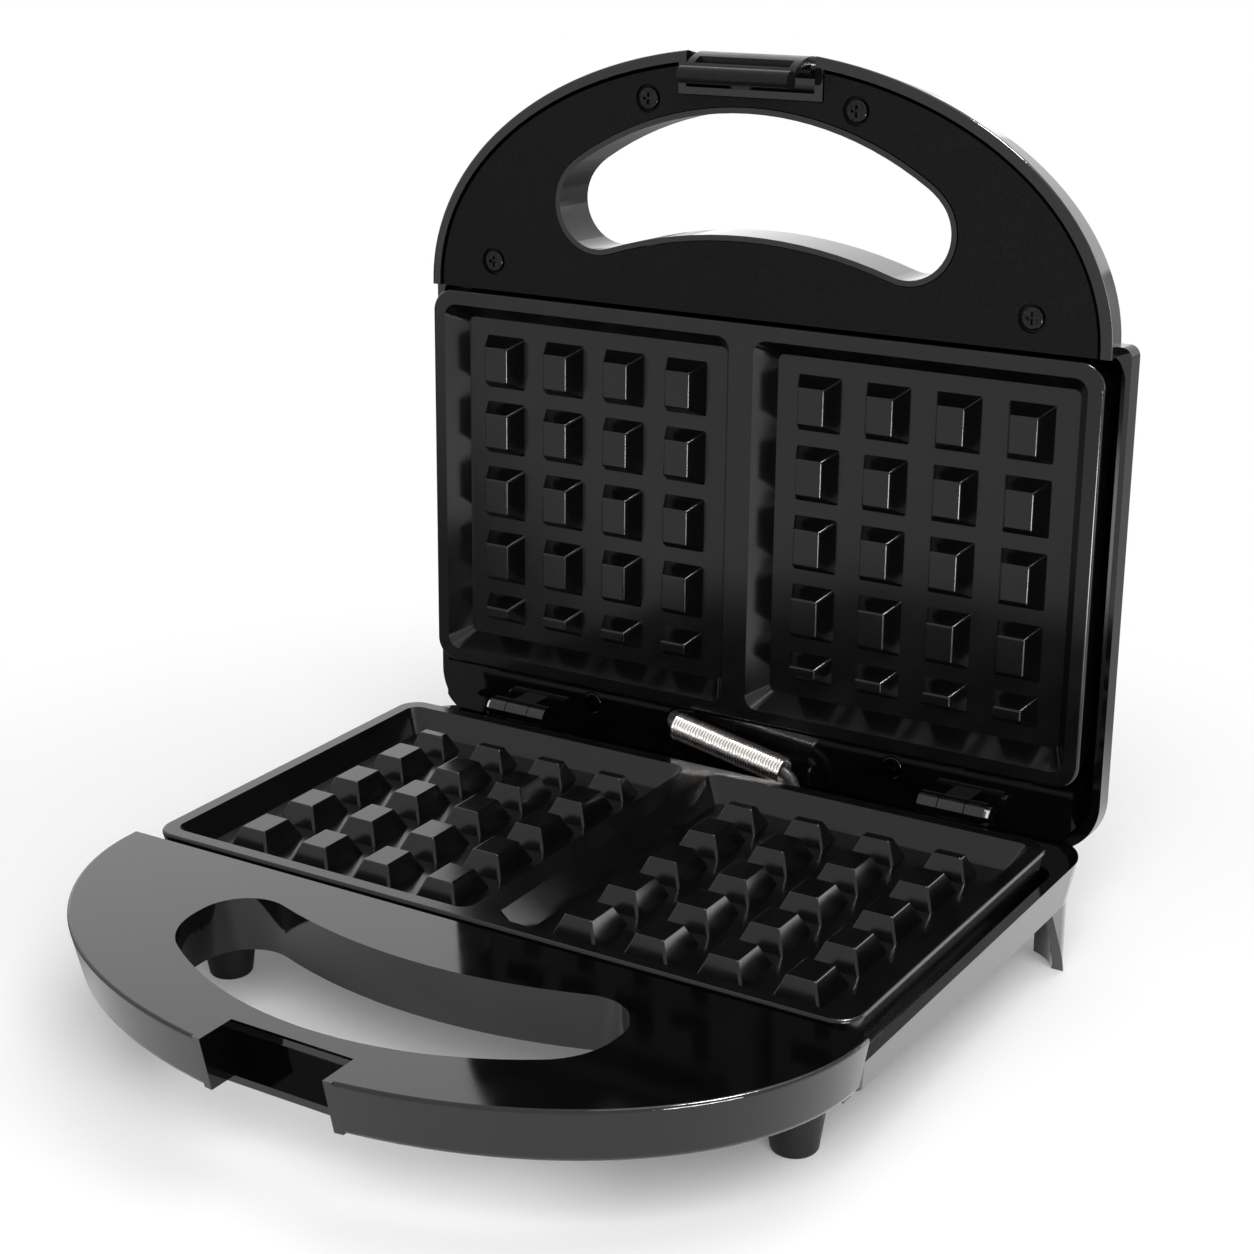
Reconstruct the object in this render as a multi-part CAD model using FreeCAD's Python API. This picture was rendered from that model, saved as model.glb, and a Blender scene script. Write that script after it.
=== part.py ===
import FreeCAD, Part
import math
import os

# Two-slice waffle maker with a hinged lid. Millimetres, X to the right, Y to the back, Z up.
# Every piece is laid out with the lid shut: Y = 0 is the middle of the grid plates, Z = 0 the table.
# The lid is then swung open, and all of it is moved so that the origin lies on the table,
# under the middle of the open object.

Vector = FreeCAD.Vector

# Heights, counted from the table or from the parting plane between the two plates
PARTING_Z = 43.0
RIM_GAP = 1.0
HANDLE_GAP = 3.0
HANDLE_T = 15.0
HANDLE_DRAFT = 3.0
LEDGE_DROP = 8.5
BASE_FLOOR_Z = 13.0
BAND_H = 12.0
BAND_CLIMB_RUN = 90.0
SKIRT_H = 6.0
SLOPE_H = 12.5
SLOPE_RUN = 15.0
TOP_PANEL_H = 7.0

# Plan sizes
PLATE_W = 220.0
PLATE_D = 120.0
PLATE_CORNER = 7.0
BODY_MARGIN = 4.0
BASE_HANDLE_OUT = 1.5
BASE_HANDLE_REACH = 81.0
LID_HANDLE_STEP = 3.0
LID_HANDLE_REACH = 74.5
HANDLE_ROUND_OUT = 2.0
BODY_DRAFT = 2.0
LID_REAR_OUT = 10.5
BASE_CORNER = 16.0
LID_CORNER = 16.0
SHOULDER_CORNER = 3.0
HANDLE_EDGE_R = 0.8
HANDLE_FOOT_R = 2.0

# Walls and clearances
WALL = 2.5
HANDLE_WALL = 3.2
HANDLE_TOP_T = 2.2
PANEL_T = 2.5
PANEL_GAP = 0.5
PANEL_SINK = 0.4
WELL_CLEAR = 1.0
DECK_T = 2.5
PIN_FIT = 0.02
RUN_FIT = 0.07
TUBE_CLEAR = 0.1

# Finger hole through both handles
HOLE_HALF_W = 65.0
HOLE_FRONT_BAND = 18.0
HOLE_OUTER_R = 102.0
HOLE_INNER_OUT = 22.5
HOLE_INNER_R = 150.0
HOLE_OUTER_CORNER = 20.0
HOLE_INNER_CORNER = 13.0
HOLE_WALL = 1.6
HOLE_LIP = 0.3

# Grid plates
PLATE_H = 15.7
PLATE_T = 3.0
PLATE_DRAFT = 2.5
PLATE_WALL = 3.0
PLATE_EDGE_R = 0.8
POCKET_DEPTH = 7.0
POCKET_INSET = 4.5
POCKET_CORNER = 4.0
RIM_W = 4.5
DIVIDER_W = 8.0
STUD_W = 13.8
STUD_D = 16.3
STUD_SHORT_D = 8.7
STUD_H = 6.0
STUD_TAPER = 2.8
STUD_EDGE_R = 0.7
STUD_MARGIN_X = 6.8
STUD_MARGIN_Y = 5.05
STUD_COLUMNS = 4
STUD_ROWS = 4
PLATE_BOSS_R = 4.5
PLATE_BOSS_H = 11.1
PLATE_BOSS_IN_X = 27.0
PLATE_BOSS_IN_Y = 36.0

# Heating elements, their clips and reflectors
ELEMENT_R = 3.25
ELEMENT_IN_X = 36.0
ELEMENT_IN_Y = 28.0
ELEMENT_BEND = 18.0
ELEMENT_GAP = 24.0
ELEMENT_PIN_R = 1.6
ELEMENT_PIN_L = 7.0
CLIP_T = 0.8
CLIP_W = 8.0
CLIP_FLANGE = 5.0
REFLECTOR_T = 0.6
REFLECTOR_IN_X = 18.0
REFLECTOR_IN_Y = 19.0
REFLECTOR_CORNER = 22.0
REFLECTOR_EDGE_H = 3.0

# Hinge
HINGE_IN_X = 39.0
HINGE_OUT_Y = 11.5
HINGE_DROP = 2.5
HINGE_SIDE_GAP = 0.3
OPEN_ANGLE = 92.5
STOP_GAP = 0.5
KNUCKLE_R = 3.8
KNUCKLE_WEB = 7.0
LUG_W = 8.0
EAR_W = 6.0
HINGE_PIN_R = 1.75
HINGE_HEAD_R = 2.9
HINGE_HEAD_H = 1.2
HINGE_PLATE_T = 4.0
HINGE_PLATE_RISE = 3.0
HINGE_PLATE_REACH = 5.0
HINGE_PLATE_SIDE_GAP = 6.0
HINGE_FLANGE_T = 2.3

# Latch
NOTCH_HALF_W = 18.5
STRIKE_IN = 6.0
STRIKE_BEVEL = 2.0
NOTCH_POCKET = 4.5
NOTCH_BACK_T = 2.0
NOTCH_SILL_IN = 8.5
NOTCH_SILL_RISE = 0.8
NOTCH_SILL_T = 2.0
LID_NOTCH_WIDER = 2.0
LID_NOTCH_IN = 11.5
LID_NOTCH_WALL = 2.0
CHEEK_T = 2.5
LATCH_SIDE_GAP = 1.0
LATCH_PIVOT_IN = 5.0
LATCH_PIVOT_RISE = 7.5
LATCH_BARREL_R = 3.0
LATCH_PIN_R = 1.2
LATCH_T = 2.1
LATCH_BOW = 1.6
LIP_R = 2.4
LIP_IN = 1.5
HOOK_GAP = 0.4
HOOK_REACH = 1.6
HOOK_TIP_R = 0.6
WINDOW_SIDE = 2.4
WINDOW_RISE = 0.5
WINDOW_H = 3.0

# Screws: radius of the shank, radius and height of the head, length under the head
COVER_SCREW = (1.5, 3.2, 1.2, 9.0)
BOTTOM_SCREW = (1.5, 3.2, 1.8, 9.0)
PLATE_SCREW = (1.7, 3.5, 2.4, 13.0)
SCREW_RECESS_R = 4.1
SCREW_HOLE_FIT = 0.2
CROSS_L = 3.4
CROSS_W = 0.8
CROSS_DEPTH = 0.8
COVER_BOSS_R = 3.6
COVER_SCREW_REAR_IN = 26.2
COVER_SCREW_REAR_OUT = 7.8
COVER_SCREW_FRONT_X = 33.3
COVER_SCREW_FRONT_IN = 15.5
HINGE_PLATE_SCREW_IN_X = 23.0
HINGE_PLATE_SCREW_IN_Y = 6.3
HINGE_RECESS_R = 3.5
BOTTOM_BOSS_R = 4.5
BOTTOM_SCREW_IN_X = 10.5
BOTTOM_SCREW_IN_Y = 13.5
PILLAR_R = 5.0
PILLAR_FLOOR_T = 2.2
TRAY_IN = 16.0
TRAY_DRAFT = 2.0
TRAY_CORNER = 26.0

# Feet and legs
FOOT_IN_X = 23.0
FOOT_IN_Y = 8.0
FOOT_TOP_R = 9.5
FOOT_BOTTOM_R = 6.0
FOOT_EDGE_R = 1.2
FOOT_SPIGOT_R = 3.0
LEG_SIDE = 13.0
LEG_REAR = 15.0
LEG_FLARE = 12.0

# Small parts
THERMOSTAT_R = 8.0
THERMOSTAT_H = 6.5
THERMOSTAT_BASE_R = 6.0
THERMOSTAT_BASE_H = 2.2
BLADE_L = 5.0
BLADE_W = 4.0
BLADE_T = 0.8
FUSE_R = 2.2
FUSE_L = 16.0
FUSE_IN_X = 34.0
FUSE_STRAP_W = 4.0
BLOCK_W = 34.0
BLOCK_D = 11.0
BLOCK_H = 11.0
BLOCK_WAYS = 3
BLOCK_BORE_R = 2.2
BLOCK_X = 0.0
BLOCK_IN_Y = 4.0
BUSH_IN_X = 44.0
BUSH_RISE = 8.4
BUSH_R = 4.8
BUSH_FLANGE_R = 6.8
BUSH_FLANGE_T = 2.5
BUSH_BORE_R = 3.2
LENS_X = 11.0
LENS_IN_Y = 16.0
LENS_R = 3.5
LENS_RISE = 1.4
LENS_FLANGE_R = 4.6
LENS_FLANGE_T = 1.0
LENS_FIT = 0.1
LENS_WALL = 1.2
LAMP_R = 1.9
LAMP_GAP = 0.4
HOLDER_H = 1.6
HOLDER_MARGIN = 2.0
HOLDER_D = 16.0
PEG_R = 2.0
PEG_H = 4.0
PEG_IN_X = 44.0
PEG_IN_Y = 22.0
PANEL_STEP = 0.6
PANEL_EDGE_RUN = 4.0
PANEL_EDGE_H = 4.5
PANEL_CROWN_RUN = 13.0
PANEL_WALL = 2.0

# Lead between base and lid, and the coil spring round it
LEAD_R = 1.8
LEAD_BASE_X = 27.0
LEAD_BASE_IN = 4.5
LEAD_LID_X = -22.0
LEAD_LID_IN = 7.9
LEAD_BASE_STAND = 7.0
LEAD_LID_STAND = 5.5
LEAD_BEND_R = 3.0
LEAD_INSIDE = 6.0
LEAD_HOLE_FIT = 0.3
SPRING_R = 3.9
SPRING_WIRE_R = 0.45
SPRING_PITCH = 1.45
SPRING_END_BEND = 5.0
SPRING_LEAST_GAP = 0.4

# Heights and places that follow from the sizes above
BASE_TOP_Z = PARTING_Z - HANDLE_GAP / 2
BASE_HANDLE_Z = BASE_TOP_Z - HANDLE_T
BASE_LEDGE_Z = PARTING_Z - LEDGE_DROP
LID_FACE_Z = PARTING_Z + HANDLE_GAP / 2
LID_HANDLE_Z = LID_FACE_Z + HANDLE_T
SKIRT_Z = PARTING_Z + LEDGE_DROP
SLOPE_Z = SKIRT_Z + SKIRT_H
DECK_Z = SLOPE_Z + SLOPE_H
LID_TOP_Z = DECK_Z + TOP_PANEL_H
RIM_Z = PARTING_Z - RIM_GAP / 2
POCKET_Z = RIM_Z - POCKET_DEPTH
PLATE_BACK_Z = POCKET_Z - PLATE_T
PLATE_SKIRT_Z = RIM_Z - PLATE_H
REFLECTOR_Z = PLATE_BACK_Z - PLATE_BOSS_H - REFLECTOR_T
BAND_Z = BASE_LEDGE_Z - BAND_H
COVER_Z = BASE_FLOOR_Z + PANEL_SINK
COVER_TOP_Z = COVER_Z + PANEL_T
FLANGE_Z = BAND_Z + PANEL_SINK
FLANGE_TOP_Z = FLANGE_Z + PANEL_T
COVER_INSET = BODY_DRAFT + WALL + PANEL_GAP
HINGE_Z = PARTING_Z - HINGE_DROP
HINGE_PLATE_Z = PARTING_Z + HINGE_PLATE_RISE
BODY_HALF_W = PLATE_W / 2 + BODY_MARGIN
BASE_HANDLE_HALF_W = BODY_HALF_W + BASE_HANDLE_OUT
LID_HANDLE_HALF_W = BODY_HALF_W - LID_HANDLE_STEP
HANDLE_ROUND_Y = PLATE_D / 2 + HANDLE_ROUND_OUT
BASE_HANDLE_FRONT = HANDLE_ROUND_Y + BASE_HANDLE_REACH
LID_HANDLE_FRONT = HANDLE_ROUND_Y + LID_HANDLE_REACH
HOLE_INNER_Y = HANDLE_ROUND_Y + HOLE_INNER_OUT
POCKET_W = PLATE_W / 2 - RIM_W - DIVIDER_W / 2 - 2 * POCKET_INSET
POCKET_D = PLATE_D - 2 * RIM_W - 2 * POCKET_INSET
STUD_PITCH_X = (POCKET_W - 2 * STUD_MARGIN_X - STUD_W) / (STUD_COLUMNS - 1)
STUD_PITCH_Y = (POCKET_D - 2 * STUD_MARGIN_Y - STUD_SHORT_D) / STUD_ROWS
PLATE_BOSS_X = PLATE_W / 2 - PLATE_BOSS_IN_X
PLATE_BOSS_Y = PLATE_D / 2 - PLATE_BOSS_IN_Y
ELEMENT_HALF_W = PLATE_W / 2 - ELEMENT_IN_X
ELEMENT_HALF_D = PLATE_D / 2 - ELEMENT_IN_Y
REFLECTOR_HALF_W = PLATE_W / 2 - REFLECTOR_IN_X
REFLECTOR_HALF_D = PLATE_D / 2 - REFLECTOR_IN_Y
FUSE_X = ELEMENT_HALF_W - FUSE_IN_X
HINGE_X = BODY_HALF_W - HINGE_IN_X
HINGE_Y = PLATE_D / 2 + HINGE_OUT_Y
LID_REAR = HINGE_Y + LID_REAR_OUT
HINGE_PLATE_HALF_W = BODY_HALF_W - HINGE_PLATE_SIDE_GAP
HINGE_PLATE_SCREW_X = HINGE_X - HINGE_PLATE_SCREW_IN_X
HINGE_PLATE_SCREW_Y = HINGE_Y - HINGE_PLATE_SCREW_IN_Y
NOTCH_Y = LID_HANDLE_FRONT - STRIKE_IN
NOTCH_SILL_Y = BASE_HANDLE_FRONT - NOTCH_SILL_IN
LID_NOTCH_HALF_W = NOTCH_HALF_W + LID_NOTCH_WIDER
LID_NOTCH_Y = LID_HANDLE_FRONT - LID_NOTCH_IN
LATCH_HALF_W = NOTCH_HALF_W - LATCH_SIDE_GAP
LATCH_PIVOT_Y = LID_HANDLE_FRONT - LATCH_PIVOT_IN
COVER_SCREW_REAR = (BODY_HALF_W - COVER_SCREW_REAR_IN, HANDLE_ROUND_Y + COVER_SCREW_REAR_OUT)
FOOT_X = BODY_HALF_W - FOOT_IN_X
FOOT_Y = FOOT_IN_Y - PLATE_D / 2
BLOCK_Y = HINGE_Y - BLOCK_IN_Y
BUSH_X = BUSH_IN_X - BODY_HALF_W
LENS_Y = PLATE_D / 2 - LENS_IN_Y
PEG_X = BODY_HALF_W - PEG_IN_X
PEG_Y = PLATE_D / 2 - PEG_IN_Y
LEAD_BASE_Y = HINGE_Y - LEAD_BASE_IN
LEAD_LID_Y = HINGE_Y - LEAD_LID_IN
WELL_Y = PLATE_D / 2 + WELL_CLEAR
BODY_FRONT = WELL_Y + WALL
LATCH_Z = PARTING_Z + LATCH_PIVOT_RISE
NOTCH_SILL_Z = BASE_HANDLE_Z + NOTCH_SILL_RISE
BUSH_Z = BASE_FLOOR_Z + BUSH_RISE
BASE_HOLE_Y = BASE_HANDLE_FRONT - HOLE_FRONT_BAND
LID_HOLE_Y = LID_HANDLE_FRONT - HOLE_FRONT_BAND
BASE_PLAN = (BASE_HANDLE_HALF_W, BASE_HANDLE_FRONT)
LID_PLAN = (LID_HANDLE_HALF_W, LID_HANDLE_FRONT)
OPEN = math.radians(OPEN_ANGLE)
STOP_Y = HINGE_Y + (SKIRT_Z - HINGE_Z) * math.sin(OPEN) + (LID_REAR - HINGE_Y) * math.cos(OPEN)
BASE_REAR = STOP_Y - STOP_GAP
BASE_COVER_SCREWS_XY = [(side * x, y) for side in (-1, 1) for x, y in (
    (COVER_SCREW_REAR[0], -COVER_SCREW_REAR[1]),
    (COVER_SCREW_FRONT_X, COVER_SCREW_FRONT_IN - BASE_HANDLE_FRONT))]
LID_COVER_SCREWS_XY = [(side * x, y) for side in (-1, 1) for x, y in (
    (COVER_SCREW_REAR[0], -COVER_SCREW_REAR[1]),
    (COVER_SCREW_FRONT_X, COVER_SCREW_FRONT_IN - LID_HANDLE_FRONT))]
BOTTOM_SCREWS_XY = [(side * (BODY_HALF_W - BOTTOM_SCREW_IN_X), BASE_REAR - BOTTOM_SCREW_IN_Y)
                    for side in (-1, 1)]
FAR = 400.0


# Plain solids

def box(x0, x1, y0, y1, z0, z1):
    return Part.makeBox(x1 - x0, y1 - y0, z1 - z0, Vector(x0, y0, z0))


def cylinder(radius, start, end):
    along = end - start
    return Part.makeCylinder(radius, along.Length, start, along)


def upright(radius, x, y, z0, z1):
    return Part.makeCylinder(radius, z1 - z0, Vector(x, y, z0))


def across(radius, x0, x1, y, z):
    return Part.makeCylinder(radius, x1 - x0, Vector(x0, y, z), Vector(1, 0, 0))


def line(start, end):
    return Part.LineSegment(start, end).toShape()


def arc(start, middle, end):
    return Part.Arc(start, middle, end).toShape()


def loft(wires):
    return Part.makeLoft(wires, True, True)


def side_prism(points_yz, x0, x1):
    """A YZ outline carried along X."""
    corners = [Vector(x0, y, z) for y, z in points_yz]
    face = Part.Face(Part.makePolygon(corners + corners[:1]))
    return face.extrude(Vector(x1 - x0, 0, 0))


def both_sides(shape):
    """The shape and its mirror image in the YZ plane."""
    return [shape, shape.mirror(Vector(0, 0, 0), Vector(1, 0, 0))]


def to_lid(shape):
    """The same shape on the other side of the parting plane."""
    return shape.mirror(Vector(0, 0, PARTING_Z), Vector(0, 0, 1))


def edges_at_height(shape, z):
    return [e for e in shape.Edges if abs(e.BoundBox.ZMin - z) < 1e-4 and abs(e.BoundBox.ZMax - z) < 1e-4]


def upright_edges(shape):
    return [e for e in shape.Edges if e.BoundBox.XLength < 1e-4 and e.BoundBox.YLength < 1e-4]


# Outlines

def rounded_rect(x0, x1, y0, y1, z, front_r, rear_r):
    """A rectangle with one radius on its two front corners and one on its two rear corners."""
    corners = [(x0, y0, front_r), (x1, y0, front_r), (x1, y1, rear_r), (x0, y1, rear_r)]
    sides = [Vector(1, 0, 0), Vector(0, 1, 0), Vector(-1, 0, 0), Vector(0, -1, 0)]
    edges = []
    starts = []
    ends = []
    for index, (x, y, r) in enumerate(corners):
        corner = Vector(x, y, z)
        incoming = sides[index - 1]
        outgoing = sides[index]
        first = corner - incoming * r
        last = corner + outgoing * r
        middle = corner + (outgoing - incoming) * (r * (1 - math.sqrt(0.5)))
        edges.append(arc(first, middle, last))
        starts.append(first)
        ends.append(last)
    ordered = []
    for index in range(4):
        ordered.append(edges[index])
        ordered.append(line(ends[index], starts[(index + 1) % 4]))
    return Part.Wire(ordered)


def plate_wire(inset, z):
    half_w = PLATE_W / 2 - inset
    half_d = PLATE_D / 2 - inset
    return rounded_rect(-half_w, half_w, -half_d, half_d, z, PLATE_CORNER, PLATE_CORNER)


def base_wire(inset, z):
    half_w = BODY_HALF_W - inset
    return rounded_rect(-half_w, half_w, -BODY_FRONT + inset, BASE_REAR - inset, z,
                        SHOULDER_CORNER, BASE_CORNER)


def tray_wire(inset, rear, z):
    """The bottom cover's tray: one inset for the sides and the front, and its own rear end."""
    half_w = BODY_HALF_W - inset
    return rounded_rect(-half_w, half_w, -BODY_FRONT + inset, rear, z, TRAY_CORNER, BASE_CORNER)


def lid_wire(inset, z):
    half_w = BODY_HALF_W - inset
    rear_r = LID_CORNER - 0.3 * inset
    return rounded_rect(-half_w, half_w, -BODY_FRONT + inset, LID_REAR - inset, z,
                        SHOULDER_CORNER + 0.3 * inset, rear_r)


def prism(wire, height):
    return Part.Face(wire).extrude(Vector(0, 0, height))


def handle_wire(plan, inset, z):
    """Half an ellipse in front, carried straight back into the body. A plan is a half width and a front."""
    half_w = plan[0] - inset
    reach = plan[1] - HANDLE_ROUND_Y - inset
    ellipse = Part.Ellipse(Vector(0, -HANDLE_ROUND_Y, z), half_w, reach)
    front = Part.ArcOfEllipse(ellipse, math.pi, 2 * math.pi).toShape()
    left = Vector(-half_w, -HANDLE_ROUND_Y, z)
    right = Vector(half_w, -HANDLE_ROUND_Y, z)
    rear_left = Vector(-half_w, 0, z)
    rear_right = Vector(half_w, 0, z)
    return Part.Wire([front, line(right, rear_right), line(rear_right, rear_left), line(rear_left, left)])


def handle_solid(plan, low_inset, low_z, high_inset, high_z):
    return loft([handle_wire(plan, low_inset, low_z), handle_wire(plan, high_inset, high_z)])


def in_front_of(shape, y):
    """The part of a shape that lies in front of a plane across Y."""
    return shape.common(box(-FAR, FAR, -FAR, y, -FAR, FAR))


def finger_hole(front, grow, z0, z1):
    """A bean-shaped prism: two arcs, bowed the same way, with rounded ends. Front is its outermost Y."""
    outer_r = HOLE_OUTER_R + grow
    inner_r = HOLE_INNER_R - grow
    outer_mid = -front + HOLE_OUTER_R
    inner_mid = -HOLE_INNER_Y + HOLE_INNER_R
    half_w = HOLE_HALF_W + grow
    outer_end = outer_mid - math.sqrt(outer_r ** 2 - half_w ** 2)
    inner_end = inner_mid - math.sqrt(inner_r ** 2 - half_w ** 2)
    front_left = Vector(-half_w, outer_end, z0)
    front_right = Vector(half_w, outer_end, z0)
    rear_right = Vector(half_w, inner_end, z0)
    rear_left = Vector(-half_w, inner_end, z0)
    outline = Part.Wire([
        arc(front_left, Vector(0, outer_mid - outer_r, z0), front_right),
        line(front_right, rear_right),
        arc(rear_right, Vector(0, inner_mid - inner_r, z0), rear_left),
        line(rear_left, front_left),
    ])
    solid = prism(outline, z1 - z0)
    front = [e for e in upright_edges(solid) if e.BoundBox.YMin < (outer_end + inner_end) / 2]
    solid = solid.makeFillet(HOLE_OUTER_CORNER + grow, front)
    sharp = [e for e in upright_edges(solid) if abs(e.BoundBox.YMin - inner_end) < 1e-3]
    return solid.makeFillet(HOLE_INNER_CORNER + grow, sharp)


# Screws

def screw(sizes, seat, down):
    """A pan head with a cross recess. The head stands on the seat, the shank runs along down."""
    shank_r, head_r, head_h, length = sizes
    head = Part.makeCylinder(head_r, head_h)
    head = head.makeFillet(head_h * 0.45, edges_at_height(head, head_h))
    solid = head.fuse(Part.makeCylinder(shank_r, length, Vector(0, 0, -length)))
    half = CROSS_L / 2
    low = head_h - min(CROSS_DEPTH, head_h * 0.7)
    solid = solid.cut(box(-half, half, -CROSS_W / 2, CROSS_W / 2, low, head_h + 1))
    solid = solid.cut(box(-CROSS_W / 2, CROSS_W / 2, -half, half, low, head_h + 1))
    solid.Placement = FreeCAD.Placement(seat, FreeCAD.Rotation(Vector(0, 0, -1), down))
    return solid


# Base

def notch_blocks():
    """Cheeks, back wall and low sill of the base's latch notch inside the handle, and the space cut out."""
    outer = handle_solid(BASE_PLAN, HANDLE_DRAFT, BASE_HANDLE_Z, 0, BASE_TOP_Z)
    cheek_x = NOTCH_HALF_W + CHEEK_T
    wall_y = -NOTCH_Y + NOTCH_POCKET
    block = outer.common(box(-cheek_x, cheek_x, -FAR, wall_y + NOTCH_BACK_T, BASE_HANDLE_Z, BASE_TOP_Z))
    strike_z = BASE_TOP_Z - HANDLE_TOP_T
    sill_top = NOTCH_SILL_Z + NOTCH_SILL_T
    opening = side_prism([
        (-FAR, FAR), (-NOTCH_Y, FAR), (-NOTCH_Y, BASE_TOP_Z), (-NOTCH_Y + STRIKE_BEVEL, strike_z),
        (wall_y, strike_z), (wall_y, sill_top), (-NOTCH_SILL_Y, sill_top),
        (-NOTCH_SILL_Y, NOTCH_SILL_Z), (wall_y, NOTCH_SILL_Z), (wall_y, -FAR), (-FAR, -FAR),
    ], -NOTCH_HALF_W, NOTCH_HALF_W)
    return block, opening


def base_ears():
    """Two ears for each hinge, standing on the rear ledge, one each side of the lid's lug."""
    solids = []
    for side in (-1, 1):
        for place in (-1, 1):
            middle = side * HINGE_X + place * (LUG_W / 2 + HINGE_SIDE_GAP + EAR_W / 2)
            x0 = middle - EAR_W / 2
            x1 = middle + EAR_W / 2
            web = box(x0, x1, HINGE_Y - KNUCKLE_WEB / 2, HINGE_Y + KNUCKLE_WEB / 2,
                      BASE_LEDGE_Z - WALL / 2, HINGE_Z)
            solids.append(across(KNUCKLE_R, x0, x1, HINGE_Y, HINGE_Z).fuse(web))
    return solids


def wall_ring(z0, z1):
    """The side walls' outline at their foot, as a ring of wall thickness."""
    outer = prism(base_wire(BODY_DRAFT, z0), z1 - z0)
    return outer.cut(prism(base_wire(BODY_DRAFT + WALL, z0), z1 - z0))


def base_legs():
    """The rear corners of the side walls, carried down to the table and wider at the top."""
    leg_y = BASE_REAR - LEG_SIDE
    corner = side_prism([(leg_y, 0), (FAR, 0), (FAR, BAND_Z), (leg_y - LEG_FLARE, BAND_Z)],
                        BODY_HALF_W - LEG_REAR, FAR)
    ring = wall_ring(0, BAND_Z)
    return [ring.common(piece) for piece in both_sides(corner)]


def rear_skirt():
    """The rear wall, carried down to the floor of the tray."""
    rear = box(-FAR, FAR, BASE_REAR - LEG_SIDE, FAR, BASE_FLOOR_Z, BAND_Z)
    return wall_ring(BASE_FLOOR_Z, BAND_Z).common(rear)


def band_climb():
    """Wedges taken off the foot of the side walls, so that it climbs to the foot of the handle."""
    front = -BODY_FRONT
    wedge = side_prism([(-FAR, -FAR), (-FAR, BASE_HANDLE_Z), (front, BASE_HANDLE_Z),
                        (front + BAND_CLIMB_RUN, BAND_Z), (front + BAND_CLIMB_RUN, -FAR)],
                       BODY_HALF_W - COVER_INSET, FAR)
    return both_sides(wedge)


def base_housing():
    handle = handle_solid(BASE_PLAN, HANDLE_DRAFT, BASE_HANDLE_Z, 0, BASE_TOP_Z)
    rounded = [e for e in edges_at_height(handle, BASE_TOP_Z) if e.BoundBox.YMin < -HANDLE_ROUND_Y]
    handle = handle.makeFillet(HANDLE_EDGE_R, rounded)
    rounded = [e for e in edges_at_height(handle, BASE_HANDLE_Z) if e.BoundBox.YMin < -HANDLE_ROUND_Y]
    handle = handle.makeFillet(HANDLE_FOOT_R, rounded)
    handle = in_front_of(handle, -WELL_Y)
    strike_z = BASE_TOP_Z - HANDLE_TOP_T
    hollow = handle_solid(BASE_PLAN, HANDLE_DRAFT + HANDLE_WALL, BASE_HANDLE_Z, HANDLE_WALL, strike_z)
    hollow = in_front_of(hollow, -BODY_FRONT)
    body = loft([base_wire(BODY_DRAFT, BAND_Z), base_wire(0, BASE_LEDGE_Z)])
    inside = loft([base_wire(BODY_DRAFT + WALL, BAND_Z), base_wire(WALL, BASE_LEDGE_Z - WALL)])
    well = prism(plate_wire(-WELL_CLEAR, PLATE_SKIRT_Z - WELL_CLEAR), PLATE_H + WELL_CLEAR + LEDGE_DROP)
    shell = body.cut([inside] + band_climb()).fuse(handle.cut(hollow)).cut(well)

    block, opening = notch_blocks()
    bosses = []
    for x, y in BASE_COVER_SCREWS_XY:
        bosses.append(upright(COVER_BOSS_R, x, y, BASE_HANDLE_Z + PANEL_SINK + PANEL_T, strike_z))
    for x, y in BOTTOM_SCREWS_XY:
        bosses.append(upright(BOTTOM_BOSS_R, x, y, FLANGE_TOP_Z, BASE_LEDGE_Z - WALL / 2))
    outside = handle.fuse(body)
    bosses = [boss.common(outside) for boss in bosses]
    tube = finger_hole(BASE_HOLE_Y, HOLE_WALL, BASE_HANDLE_Z, BASE_TOP_Z - HANDLE_TOP_T / 2)
    shell = shell.fuse([tube, block, rear_skirt()] + bosses + base_ears() + base_legs())

    cuts = [finger_hole(BASE_HOLE_Y, 0, BASE_HANDLE_Z - 1, BASE_TOP_Z + 1), opening]
    for x, y in BASE_COVER_SCREWS_XY:
        depth = COVER_SCREW[3] + PANEL_T
        cuts.append(upright(COVER_SCREW[0] + PIN_FIT, x, y, BASE_HANDLE_Z, BASE_HANDLE_Z + depth))
    for x, y in BOTTOM_SCREWS_XY:
        cuts.append(upright(BOTTOM_SCREW[0] + PIN_FIT, x, y, FLANGE_Z, FLANGE_Z + BOTTOM_SCREW[3] + 1))
    for side in (-1, 1):
        middle = side * HINGE_X
        reach = LUG_W / 2 + HINGE_SIDE_GAP + EAR_W + 1
        cuts.append(across(HINGE_PIN_R + PIN_FIT, middle - reach, middle + reach, HINGE_Y, HINGE_Z))
    cuts.append(upright(LEAD_R + LEAD_HOLE_FIT, LEAD_BASE_X, LEAD_BASE_Y,
                        BASE_LEDGE_Z - WALL - 1, BASE_LEDGE_Z + 1))
    cuts.append(cylinder(BUSH_R + PIN_FIT, Vector(BUSH_X, BASE_REAR - WALL - BODY_DRAFT - 1, BUSH_Z),
                         Vector(BUSH_X, BASE_REAR + 1, BUSH_Z)))
    return shell.cut(cuts)


def handle_panel(plan, inset, hole_y, z, notch_half_w, notch_y):
    """A D-shaped panel that closes a handle, with room for the finger hole's wall and the latch notch."""
    panel = prism(handle_wire(plan, inset, z), PANEL_T)
    panel = panel.cut(finger_hole(hole_y, HOLE_WALL + PANEL_GAP / 2, z - 1, z + PANEL_T + 1))
    return panel.cut(box(-notch_half_w, notch_half_w, -FAR, -notch_y, z - 1, z + PANEL_T + 1))


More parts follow.
